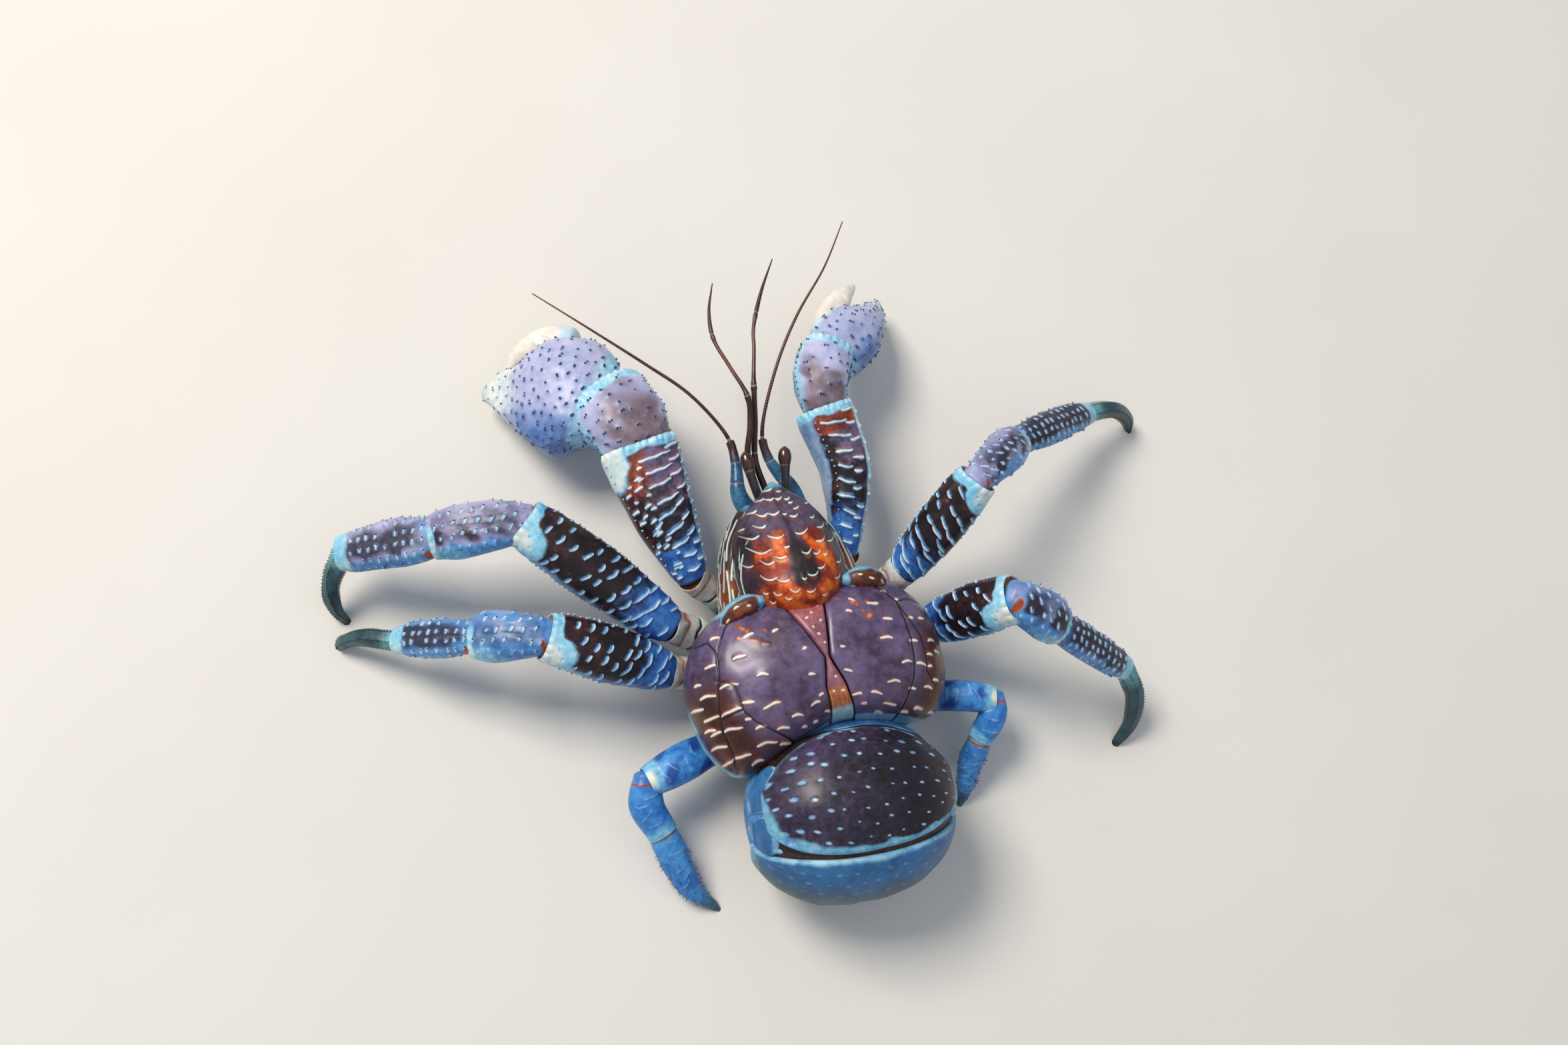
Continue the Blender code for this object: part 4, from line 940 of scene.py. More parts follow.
def stud_tree():
    """Studs on points: a small cone with a blunt tip on each, along its facing, scaled by its size."""
    tree = bpy.data.node_groups.new("studs_on_points", "GeometryNodeTree")
    tree.interface.new_socket("Geometry", in_out="INPUT", socket_type="NodeSocketGeometry")
    kinds = {"Stud sides": "Int", "Stud height": "Float", "Tip radius": "Float", "Finish": "Material"}
    sockets = {}
    for label, kind in kinds.items():
        made = tree.interface.new_socket(label, in_out="INPUT", socket_type=f"NodeSocket{kind}")
        sockets[label] = made.identifier
    tree.interface.new_socket("Geometry", in_out="OUTPUT", socket_type="NodeSocketGeometry")
    given = add(tree, "NodeGroupInput").outputs
    sizes = {"Vertices": given["Stud sides"], "Radius Top": given["Tip radius"]}
    sizes["Depth"] = given["Stud height"]
    cone = add(tree, "GeometryNodeMeshCone", {"Radius Bottom": 1.0, "Side Segments": 3}, sizes)
    place = add(tree, "GeometryNodeInputPosition")
    height = add(tree, "ShaderNodeSeparateXYZ", {}, {0: place}).outputs["Z"]
    share = add(tree, "ShaderNodeMath", {}, {0: height, 1: given["Stud height"]}, operation="DIVIDE")
    marked = add(
        tree,
        "GeometryNodeStoreNamedAttribute",
        {"Name": "tip"},
        {"Geometry": cone, "Value": share},
        data_type="FLOAT",
        domain="POINT",
    )
    facing = add(tree, "GeometryNodeInputNamedAttribute", {"Name": "facing"}, data_type="FLOAT_VECTOR")
    size = add(tree, "GeometryNodeInputNamedAttribute", {"Name": "size"}, data_type="FLOAT")
    turned = add(tree, "FunctionNodeAlignRotationToVector", {}, {"Vector": facing}, axis="Z")
    laid = {"Points": given["Geometry"], "Instance": marked, "Rotation": turned, "Scale": size}
    spread = add(tree, "GeometryNodeInstanceOnPoints", {}, laid)
    real = add(tree, "GeometryNodeRealizeInstances", {}, {"Geometry": spread})
    smooth = add(tree, "GeometryNodeSetShadeSmooth", {}, {"Geometry": real})
    dressed = add(tree, "GeometryNodeSetMaterial", {}, {"Geometry": smooth, "Material": given["Finish"]})
    add(tree, "NodeGroupOutput", {}, {"Geometry": dressed})
    return tree, sockets


STUD_TREE, STUD_SOCKETS = stud_tree()


def studs(name, places, facing, sizes, material, slot, sides=8, height=1.3, blunt=0.22):
    """Runs the stud tree over points in mm, and keeps the result as a plain mesh on the crab."""
    mesh = bpy.data.meshes.new(name + "_points")
    mesh.from_pydata(((np.asarray(places) + FOOTPRINT_SHIFT) * MM).tolist(), [], [])
    stored = mesh.attributes.new("facing", "FLOAT_VECTOR", "POINT")
    stored.data.foreach_set("vector", np.asarray(facing, np.float32).reshape(-1))
    stored = mesh.attributes.new("size", "FLOAT", "POINT")
    stored.data.foreach_set("value", (np.asarray(sizes) * MM).astype(np.float32))
    source = in_scene(name, mesh)
    step = source.modifiers.new("studs", "NODES")
    step.node_group = STUD_TREE
    given = {"Stud sides": sides, "Stud height": height, "Tip radius": blunt, "Finish": material}
    for label, value in given.items():
        step[STUD_SOCKETS[label]] = value
    graph = bpy.context.evaluated_depsgraph_get()
    result = bpy.data.meshes.new_from_object(source.evaluated_get(graph))
    source.modifiers.remove(step)
    source.data = result
    bpy.data.meshes.remove(mesh)
    on_crab(source, material, slot)


def stud_finish(name, base, tip, roughness=0.35):
    """Shell of a stud, darkening from its foot to its worn tip."""
    material, tree, shader, place = new_finish(name)
    grain = add(tree, "ShaderNodeTexNoise", {"Scale": 1 / (0.8 * MM), "Detail": 4.0}, {"Vector": place})
    height = add(tree, "ShaderNodeAttribute", attribute_name="tip").outputs["Fac"]
    shaken = add(tree, "ShaderNodeMath", {1: 0.5}, {0: grain, 2: height}, operation="MULTIPLY_ADD")
    reach = {"From Min": 0.45, "From Max": 0.85}
    cover = add(tree, "ShaderNodeMapRange", reach, {"Value": shaken}, interpolation_type="SMOOTHSTEP")
    tint = add(tree, "ShaderNodeMix", {6: hexed(base), 7: hexed(tip)}, {0: cover}, data_type="RGBA")
    bump = add(tree, "ShaderNodeBump", {"Strength": 0.3, "Distance": 0.1 * MM}, {"Height": grain})
    tree.links.new(tint.outputs[2], shader.inputs["Base Color"])
    tree.links.new(bump.outputs[0], shader.inputs["Normal"])
    shader.inputs["Roughness"].default_value = roughness
    return material


DARK_STUD = stud_finish("dark_tipped_stud", "#5870a8", "#0c0e20")
PALE_STUD = stud_finish("pale_blue_tooth", "#3a78b4", "#bcdce8")


def nearest(skin, s, a):
    """Ring and side of the skin's point nearest to a place given as along mm and around mm."""
    i = int(np.argmin(np.abs(skin["along"][:, 0] - s)))
    return i, int(np.argmin(np.abs(skin["around"][i] - a)))


def pick(skin, spots):
    """The points and normals of a raised skin nearest to places given as (along mm, around mm)."""
    found = [nearest(skin, s, a) for s, a in spots]
    return tuple(np.asarray([skin[key][i, j] for i, j in found]) for key in ("relief", "normal"))


def stud_row(name, skin, spots, sizes, material, slot, lean=0.45, **shape):
    """Studs on a raised skin at the given places, leaned towards its far end."""
    places, facing = pick(skin, spots)
    run = skin["points"][-1].mean(axis=0) - skin["points"][0].mean(axis=0)
    studs(name, places, facing + lean * run / np.linalg.norm(run), sizes, material, slot, **shape)


CLAWS = {
    "left": {
        "base": [(-30, 51, 20), (-46, 65, 38)],
        "arm": [(-46, 65, 38), (-53, 99, 47), (-57, 134, 52)],
        "wrist": [(-55, 128, 52), (-59.5, 147, 50), (-66.5, 166, 44)],
        "palm": [(-65, 160, 43), (-82, 172, 35), (-101, 181, 25), (-121.5, 190.5, 13)],
        "finger": [(-72, 203, 26), (-84, 208, 21), (-97, 206.5, 17), (-107.5, 200.5, 15)],
        "arm_half": 18.8, "wrist_half": 22.0, "palm_half": 32.5, "palm_deep": 21.0,
        "palm_plan": [(0, 0.58, 0.62), (0.14, 0.84, 0.88), (0.32, 0.99, 1.00), (0.5, 0.89, 0.92),
                      (0.7, 0.60, 0.66), (0.87, 0.32, 0.40), (1, 0.11, 0.17)],
        "finger_sizes": [(0, 8, 9, 8), (0.35, 8.5, 8.5, 8), (0.75, 5.8, 6, 6), (1, 2, 2.2, 2.2)],
        "corner": 12.5, "inner": 1, "flip": 1, "arm_seed": 3, "seed": 21,
    },
    "right": {
        "base": [(26, 50, 20), (34, 58, 38)],
        "arm": [(34, 58, 38), (43.5, 97, 47), (40.5, 131, 52)],
        "wrist": [(41.5, 125, 52), (44, 146, 50), (53, 163, 44)],
        "palm": [(51, 157, 43), (69, 170, 36), (86, 181, 25), (97, 192.5, 14)],
        "finger": [(57, 174, 35), (67, 188, 30), (77, 198, 24), (85, 204, 20)],
        "arm_half": 14.5, "wrist_half": 15.0, "palm_half": 16.5, "palm_deep": 14.0,
        "palm_plan": [(0, 0.75, 0.8), (0.2, 0.98, 1.0), (0.42, 1.00, 1.0), (0.62, 0.74, 0.8),
                      (0.82, 0.42, 0.5), (1, 0.14, 0.18)],
        "finger_sizes": [(0, 8.5, 8, 8), (0.4, 8, 8, 7.5), (0.75, 5.2, 5.5, 5), (1, 1.8, 2, 2)],
        "corner": 0, "inner": 0, "flip": -1, "arm_seed": 5, "seed": 31,
    },
}
# Share of the length, half width as a share of the full one, then rise and depth in mm.
ARM_PLAN = [
    (0, 0.42, 6.5, 6), (0.1, 0.55, 9, 8), (0.45, 0.83, 12.5, 11), (0.8, 1.00, 13, 12),
    (0.94, 1.04, 13.5, 12.5), (1, 0.98, 12.5, 11.5),
]
WRIST_PLAN = [(0, 0.62, 9, 9), (0.2, 0.8, 13, 12), (0.55, 0.96, 16, 14), (0.88, 1, 16, 14), (1, 0.93, 14, 12)]
BASE_SIZES = [(0, 8, 7, 6), (0.5, 7.5, 7, 7), (1, 6.8, 6.8, 6.8)]
RIDGE_ROWS = 9
STUD_GAP = 4.7


def joint_base(node, hip, shoulder, sizes):
    """A short bone-white base segment with a fold at its outer end and rusty skin in the fold."""
    middle = tuple(0.5 * (np.asarray(hip, float) + np.asarray(shoulder)) + (0, 0, -2))
    base = tube([hip, middle, shoulder], sizes, rings=50, sides=64, crowd=1.0, uneven=0.7)
    s, length = base["along"], base["length"]
    wander = lumps(base["points"], 5, 3)
    fold = bell(s - 0.45 * length + 1.2 * wander, 1.0)
    crease = bell(s / length - 0.78 + 0.06 * wander, 0.05)
    masks = {
        "blue": 0.75 * ramp(s / length + 0.2 * wander, 0.45, 0.1),
        "warm": unit(0.8 * crease + ramp(wander, 0.55, 1.0) * 0.4),
        "dark": unit(1.1 * fold + 0.9 * ramp(s / length, 0.16, 0.02)),
    }
    lift = 0.8 * ramp(s / length + 0.05 * wander, 0.80, 0.95) - 1.1 * fold
    dress(node, raised(base, lift), masks, BONE_SHELL, "bone", end=SOCKET_END)


def arm_ridges(rng, inner, length, reach):
    """Ridges across the arm in rows: a long one, one beyond it, short ones beside it, two at the edge."""
    marks = []
    for k in range(RIDGE_ROWS):
        at = 5 + (length - 14) * k / (RIDGE_ROWS - 1) + rng.uniform(-0.7, 0.7)
        wide = reach(at)
        tilt = rng.uniform(0.0, 0.25) if inner else rng.uniform(-0.4, -0.15)
        middle = (0.05 + 0.2 * at / length if inner else -0.1) + rng.uniform(-0.18, 0.18)
        marks.append((middle * wide, at, wide * rng.uniform(0.36, 0.54), 0.7, tilt, 1.3))
        beyond, after = (middle + rng.uniform(0.62, 0.72)) * wide, at + rng.uniform(2.8, 4.6)
        marks.append((beyond, after, wide * rng.uniform(0.22, 0.32), 0.5, tilt + 0.15, 1.1))
        for column in (-0.55, -0.9) if k % 2 else (-0.72, -1.1):
            across = (column + rng.uniform(-0.16, 0.16)) * wide
            if inner and rng.uniform() < 0.85:
                marks.append((across, at + rng.uniform(-1.8, 1.8), rng.uniform(1.4, 2.6), 0.2, tilt, 1.2))
                after = at + 3.7 + rng.uniform(-1.4, 1.4)
                marks.append((across + 2.5, after, rng.uniform(1.0, 1.8), 0.2, tilt, 1.0))
        marks.append((1.2 * wide, at + 1.4, 0.14 * wide, 0.3, 0.4, 0.9))
        marks.append((1.5 * wide, at + 1.4, 0.16 * wide, 0.3, 0.2, 0.7))
    return marks


def claw_arm(side, claw):
    """The arm: ridge rows across its upper side, a pale toothed rim, and a bone-white outer corner."""
    rng = np.random.default_rng(claw["arm_seed"])
    half, inner = claw["arm_half"], claw["inner"]
    arm = tube(claw["arm"], [(t, w * half, up, down) for t, w, up, down in ARM_PLAN], rings=184, sides=184)
    s, a, length = arm["along"], arm["around"], arm["length"]
    wander = lumps(arm["points"], 5, claw["arm_seed"])

    def reach(at):
        return half * (0.42 + 0.58 * at / length)

    marks = arm_ridges(rng, inner, length, reach)
    lift, pale, halo = far_scales(a, s, marks, back=1.8, front=0.55, wide=0.85, shade=-1.5, glow=0.9)
    upper = ramp(arm["normal"][..., 2], -0.25, 0.15)
    rim = ramp(s + 0.8 * wander, length - 5.0, length - 2.6)
    corner = np.zeros(s.shape)
    if claw["corner"]:
        distance = np.hypot((s - length + 5) / 1.5, (a + half * 1.1) / 1.1) + 0.9 * wander
        corner = ramp(distance, claw["corner"], claw["corner"] - 4)
    bare = 1 - unit(np.maximum(rim, corner))
    frill = ramp(s, length - 4, length - 1) * np.abs(np.sin(0.75 * a + 0.5 * np.sin(0.6 * a)))
    lift = lift * upper * bare + 0.5 * corner + 0.9 * frill * upper
    margin = bell(a - 1.2 * reach(s), 1.9) * upper
    outer = (1 - inner) * ramp(a, 0.75 * reach(s), 1.15 * reach(s)) * ramp(s / length, 0.35, 0.7) * upper
    face = 0 if inner else ramp(a + 0.8 * wander, -0.62 * half, -0.85 * half)
    stripe = np.hypot((s - length + 11) / 1.7, a + 0.55 * half) if inner else np.abs(s - length + 9) * 2
    rusty = ramp(stripe + 2 * wander, 13, 4) + 0.35 * ramp(wander - a / half, 0.4, 1.6)
    masks = {
        "pale": pale * upper * bare,
        "rim": unit(rim + 0.7 * margin + 0.9 * corner + 0.9 * outer),
        "bone": 0.9 * ramp(corner, 0.35, 1.2) + 0.5 * frill * rim + 0.5 * outer + 0.35 * margin,
        "warm": unit(rusty) * upper,
        "blue": unit(ramp(s / length + 0.05 * wander, 0.42, 0.1) + 0.9 * ramp(upper, 0.8, 0.2)),
        "face": 0.9 * face * ramp(s / length, -0.2, 0.4),
        "glow": 0.6 * halo * upper * ramp(s / length, 0.75, 0.35) * bare,
        "rosy": 0.8 * halo * upper * ramp(s / length, 0.4, 0.7) * bare,
        "dusk_and_painted_sheen": ramp(s / length + 0.1 * wander, 0.35, 0.9) * ramp(a, -0.7 * half, 0.2 * half),
    }
    dress(f"claw_{side}_arm", raised(arm, lift), masks, ARM_SHELL, "purple", end=SOCKET_END)
    spots = []
    for turned in (1.3, -1.25 if inner else -0.72):
        at = 7.0
        while at < length - 4:
            spots.append((at, turned * reach(at)))
            at += rng.uniform(2.8, 5.2)
    sizes = rng.uniform(0.45, 0.8, len(spots))
    stud_row(f"claw_{side}_arm_teeth", arm, spots, sizes, PALE_STUD, "purple", height=1.2)


def palm_studs(skin, count, seed, keep):
    """Places for studs in short broken rows over the part of a skin that keep allows."""
    rng = np.random.default_rng(seed)
    spots = []
    for _ in range(count * 60):
        if len(spots) >= count:
            break
        s = rng.uniform(2, skin["length"] - 2)
        a = rng.uniform(skin["around"].min(), skin["around"].max())
        if keep[nearest(skin, s, a)] < rng.uniform(0.1, 1.0):
            continue
        if spots and min(math.hypot(1.15 * (s - p), a - q) for p, q in spots) < STUD_GAP:
            continue
        spots.append((s, a))
        if rng.uniform() < 0.65:
            spots.append((s + rng.uniform(-0.5, 0.5), a + 1.15))
    return spots


def dimpled(skin, spots, swell=1.3):
    """1 under each stud, falling off round it: the low swellings and the blue shadows there."""
    near = np.zeros(skin["along"].shape)
    for s, a in spots:
        near = np.maximum(near, bell(np.hypot(skin["along"] - s, skin["around"] - a), swell))
    return near


def claw_wrist(side, claw, rng):
    """The knobbed wrist, brown at its root, with a folded pale rim and teeth along both edges."""
    half = claw["wrist_half"]
    sizes = [(t, w * half, up, down) for t, w, up, down in WRIST_PLAN]
    wrist = tube(claw["wrist"], sizes, rings=108, sides=148)
    s, a, length = wrist["along"], claw["flip"] * wrist["around"], wrist["length"]
    wander = lumps(wrist["points"], 6, claw["seed"])
    upper = ramp(wrist["normal"][..., 2], 0.1, 0.5)
    spots = palm_studs(wrist, int(half * 3.2), claw["seed"], upper * ramp(length - s, 3.5, 6))
    near = dimpled(wrist, spots)
    rim = ramp(s + wander, length - 8.5, length - 4.5)
    folds = ramp(s, length - 7, length - 1) * np.abs(np.sin(0.8 * a)) * upper
    edge = bell(np.abs(a) - 1.2 * half + 1.5 * wander, 4.5)
    brown = np.hypot((s - 0.2 * length) / 1.3, (a - 3) / 1.1) + 5 * wander
    masks = {
        "rim": unit(rim + 0.75 * edge),
        "bone": 0.6 * folds * rim,
        "warm": 0.9 * ramp(brown, 1.35 * half, 0.2 * half),
        # Darker blue on the lower sides and round the studs is painted shade.
        "blue": unit(0.35 * near + 0.8 * ramp(upper, 0.6, 0.1)),
    }
    lift = near * 0.45 + 0.9 * folds + 0.5 * lumps(wrist["points"], 12, 9)
    dress(f"claw_{side}_wrist", raised(wrist, lift), masks, PALM_SHELL, "lavender", end=SOCKET_END)
    teeth = [(v, w * 1.22 * half) for w in (-1, 1) for v in np.arange(3, length - 4, 2.6)]
    teeth = [(p + rng.uniform(-0.7, 0.7), q + rng.uniform(-0.7, 0.7)) for p, q in teeth]
    for name, places, low, high, lean, tall in (
        ("studs", spots, 0.5, 0.78, 0.45, 1.15),
        ("teeth", teeth, 0.45, 0.8, 0, 1.2),
    ):
        sizes = rng.uniform(low, high, len(places))
        stud_row(f"claw_{side}_wrist_{name}", wrist, places, sizes, DARK_STUD, "lavender", lean, height=tall)


def claw_palm(side, claw, rng):
    """The swollen palm, bluer on its inner side and bone-white towards its fixed finger; darker blue on its
    lower sides and round its studs is painted shade.
    """
    half, deep = claw["palm_half"], claw["palm_deep"]
    sizes = [(t, w * half, d * deep, d * deep) for t, w, d in claw["palm_plan"]]
    palm = tube(claw["palm"], sizes, rings=168, sides=188)
    s, a, length = palm["along"], claw["flip"] * palm["around"], palm["length"]
    wander = lumps(palm["points"], 7, claw["seed"])
    upper = ramp(palm["normal"][..., 2], -0.1, 0.3)
    tip = ramp(s / length + 0.06 * wander, 0.48, 0.92)
    spots = palm_studs(palm, int(half * 6.5), claw["seed"] + 1, unit(upper * (0.7 + 0.6 * tip)))
    near = dimpled(palm, spots)
    edge = ramp(a + 2 * wander, 0.8 * half, 1.25 * half) * upper
    inside = ramp(a + 3 * wander, -0.1 * half, -0.95 * half)
    masks = {
        "pale": 0.25 * near,
        "rim": unit(0.7 * edge + 0.8 * ramp(s + 2 * wander, 13, 4)),
        "bone": unit(tip + 0.5 * edge),
        # Blue: the inner side's own colour, plus painted shade on the lower sides and round the studs.
        "blue": unit(0.85 * inside + 0.6 * near + 0.6 * ramp(upper, 0.6, 0.1)),
    }
    keel = 1.1 * bell(a - 0.15 * half, 4.5) * ramp(tip, 1, 0.4)
    lift = near * 0.45 + 0.9 * lumps(palm["points"], 15, 9) + keel
    dress(f"claw_{side}_palm", raised(palm, lift), masks, PALM_SHELL, "lavender")
    sizes = (1.0 - 0.35 * np.array([p for p, _ in spots]) / length) * rng.uniform(0.6, 0.92, len(spots))
    stud_row(f"claw_{side}_palm_studs", palm, spots, sizes, DARK_STUD, "lavender", height=1.15)


def claw_finger(side, claw):
    """The cream loose finger, with a row of low blunt teeth on its inner side."""
    finger = tube(claw["finger"], claw["finger_sizes"], rings=110, sides=100)
    teeth = 0.8 * np.clip(np.sin(finger["along"] * 0.6), 0, 1) * bell(finger["turn"] + math.pi * 0.1, 0.5)
    lift = 0.3 * lumps(finger["points"], 4, claw["seed"]) + teeth * 0.4
    masks = {
        "blue": 0.7 * ramp(finger["share"], 0.35, 0.0),
        "warm": 0.5 * ramp(finger["normal"][..., 2], 0.0, -0.5),
    }
    dress(f"claw_{side}_finger", raised(finger, lift), masks, FINGER_SHELL, "bone")


for side, claw in CLAWS.items():
    joint_base(f"claw_{side}_base", *claw["base"], BASE_SIZES)
for side, claw in CLAWS.items():
    claw_arm(side, claw)
for side, claw in CLAWS.items():
    rng = np.random.default_rng(claw["seed"])
    claw_wrist(side, claw, rng)
    claw_palm(side, claw, rng)
    claw_finger(side, claw)

# Walking legs
# The two large pairs of legs: a long ridged thigh, a short shin, a foot segment with rows of small
# bumps, and a curved toe with rows of black spines. Thighs are near black with pale blue crescents,
# blue towards the body, and have a bone and cyan corner at the knee. Orange skin shows in the joints.

LEG_SHELL = crab_shell(
    "lavender_leg_shell",
    ("#74739c", "#b0aed2"),
    [
        ("blue", "#2c68ac", "#62a4dc", 0.9),
        ("dusk_and_painted_sheen", "#191624", "#332d46", 0.9),
        ("rim", "#5cacd0", "#a0d4e4", 0.6),
        ("bone", "#b4d4d8", "#dfe6d8", 0.6),
        ("glow", "#4478b0", "#7cb0dc", 0.4),
        ("pale", "#94bee0", "#ccdfec", 0.3),
        ("warm", "#7c2c12", "#c0561e", 0.8),
        ("hollow", "#b4501c", "#d89a62", 0.3),
    ],
)
TOE_SHELL = crab_shell(
    "dark_teal_toe_shell",
    ("#1a363c", "#315a64"),
    [("rim", "#4f8f9c", "#7fb8b8", 0.5), ("dark", "#0c1214", "#141c1c", 0.3)],
    roughness=0.42,
)
BLACK_STUD = stud_finish("black_toe_spine", "#24383a", "#080a0c")
JOINT_SKIN = crab_shell(
    "orange_joint_skin",
    ("#a8441a", "#d87a3a"),
    [("pale", "#e8d8b8", "#f0e8d4", 0.8)],
    roughness=0.5,
    coat=0.05,
    pits=0.6,
)
# Places in mm and sizes of the segments; then how dark, how blue and how far round the dark top is.
LEGS = {
    "leg2_left": {
        "hip": (-42, 34, 21), "shoulder": (-64, 44, 37), "knee": (-121.5, 107, 62),
        "wrist": (-164.5, 112, 53), "ankle": (-209.5, 120, 30), "tip": (-216.5, 92, 0),
        "toe": [(-218.5, 109.5, 21), (-220.5, 99.5, 9)],
        "thigh": 14.3, "shin": 13.2, "foot": 11.8, "flip": 1, "tilt": -0.25, "stroke": 1.0,
        "gloom": 0.8, "azure": 0.0, "top": 0.75,
    },
    "leg3_left": {
        "hip": (-48, 17, 20), "shoulder": (-70, 23, 31), "knee": (-124.5, 51, 55), "wrist": (-157, 60.5, 46),
        "ankle": (-194, 72, 25), "tip": (-223.5, 81, 0), "toe": [(-208.5, 78.5, 18), (-219, 81, 8)],
        "thigh": 13.8, "shin": 12.4, "foot": 9.3, "flip": 1, "tilt": -0.3, "stroke": 0.95,
        "gloom": 0.5, "azure": 0.7, "top": 0.9,
    },
    "leg2_right": {
        "hip": (41, 33, 21), "shoulder": (61, 42, 38), "knee": (99.5, 71.5, 78), "wrist": (131.5, 88.5, 63),
        "ankle": (188, 101.5, 32), "tip": (224, 92.5, 0), "toe": [(206, 102, 24), (219.5, 98, 10)],
        "thigh": 12.2, "shin": 10.6, "foot": 8.7, "flip": -1, "tilt": 0.5, "stroke": 1.3,
        "gloom": 1.0, "azure": 0.25, "top": 1.5,
    },
    "leg3_right": {
        "hip": (48, 10, 20), "shoulder": (70, 12, 32), "knee": (99.5, 9, 79), "wrist": (121, -9, 66),
        "ankle": (162, -36.5, 33), "tip": (157.5, -73, 0), "toe": [(167, -50, 24), (165.5, -64, 10)],
        "thigh": 13.3, "shin": 12.3, "foot": 8.8, "flip": -1, "tilt": -0.45, "stroke": 1.05,
        "gloom": 1.1, "azure": 0.7, "top": 1.3,
    },
}
LEG_BASE_SIZES = [(0, 9, 7, 7), (0.5, 8.6, 7.5, 7.5), (1, 8.2, 7.5, 7.5)]
# Share of the length, then half width and depth as shares of the segment's size.
THIGH_PLAN = [
    (0, 0.66, 0.6), (0.12, 0.82, 0.72), (0.5, 1, 0.8), (0.82, 0.95, 0.78), (0.96, 0.86, 0.72), (1, 0.8, 0.66),
]
SHIN_PLAN = [(0, 0.62, 0.55), (0.35, 0.9, 0.75), (0.75, 1, 0.8), (1, 0.84, 0.7)]
FOOT_PLAN = [(0, 0.8, 0.7), (0.4, 1, 0.8), (0.8, 0.9, 0.75), (1, 0.72, 0.62)]
TOE_SIZES = [(0, 4.8, 4.8, 4.8), (0.4, 4.3, 4.5, 4.5), (0.75, 3.2, 3.4, 3.4), (1, 1.6, 1.6, 1.6)]
THIGH_ROW_GAP = 8.2
SHIN_ROW_GAP = 5.2
FOOT_ROW_GAP = 4.7
SPINE_GAP = 1.6
FIRST_LEG_SEED = 50


def bowed(start, end, lift):
    """A line from start to end, with its middle lifted by some mm."""
    middle = 0.5 * (np.asarray(start, float) + np.asarray(end, float)) + (0, 0, lift)
    return [start, tuple(middle), end]


def backed(start, end, by):
    """The place some mm before the start of a line."""
    run = np.asarray(end, float) - np.asarray(start, float)
    return tuple(np.asarray(start, float) - run / np.linalg.norm(run) * by)


def segment(line, plan, size, rings, sides):
    """A leg segment's skin from its line, its plan and its size in mm."""
    return tube(line, [(t, p * size, q * size, q * size) for t, p, q in plan], rings=rings, sides=sides)


def joint_ball(name, place, axis, radius, thick):
    """The folded skin inside a joint: a short bulging sleeve along the limb."""
    axis = np.asarray(axis, float)
    axis /= np.linalg.norm(axis)
    place = np.asarray(place, float)
    narrow = (0.72 * radius, 0.62 * radius, 0.62 * radius)
    sizes = [(0, *narrow), (0.5, radius, 0.85 * radius, 0.85 * radius), (1, *narrow)]
    sleeve = tube([place - axis * thick, place, place + axis * thick], sizes, rings=18, sides=44, crowd=1.0)
    pleated = raised(sleeve, 0.3 * np.sin(sleeve["along"] * 2.4))
    masks = {"pale": 0.5 + 0.5 * np.sin(sleeve["around"] * 0.4)}
    on_crab(closed_skin(name, pleated, masks), JOINT_SKIN, "bone")


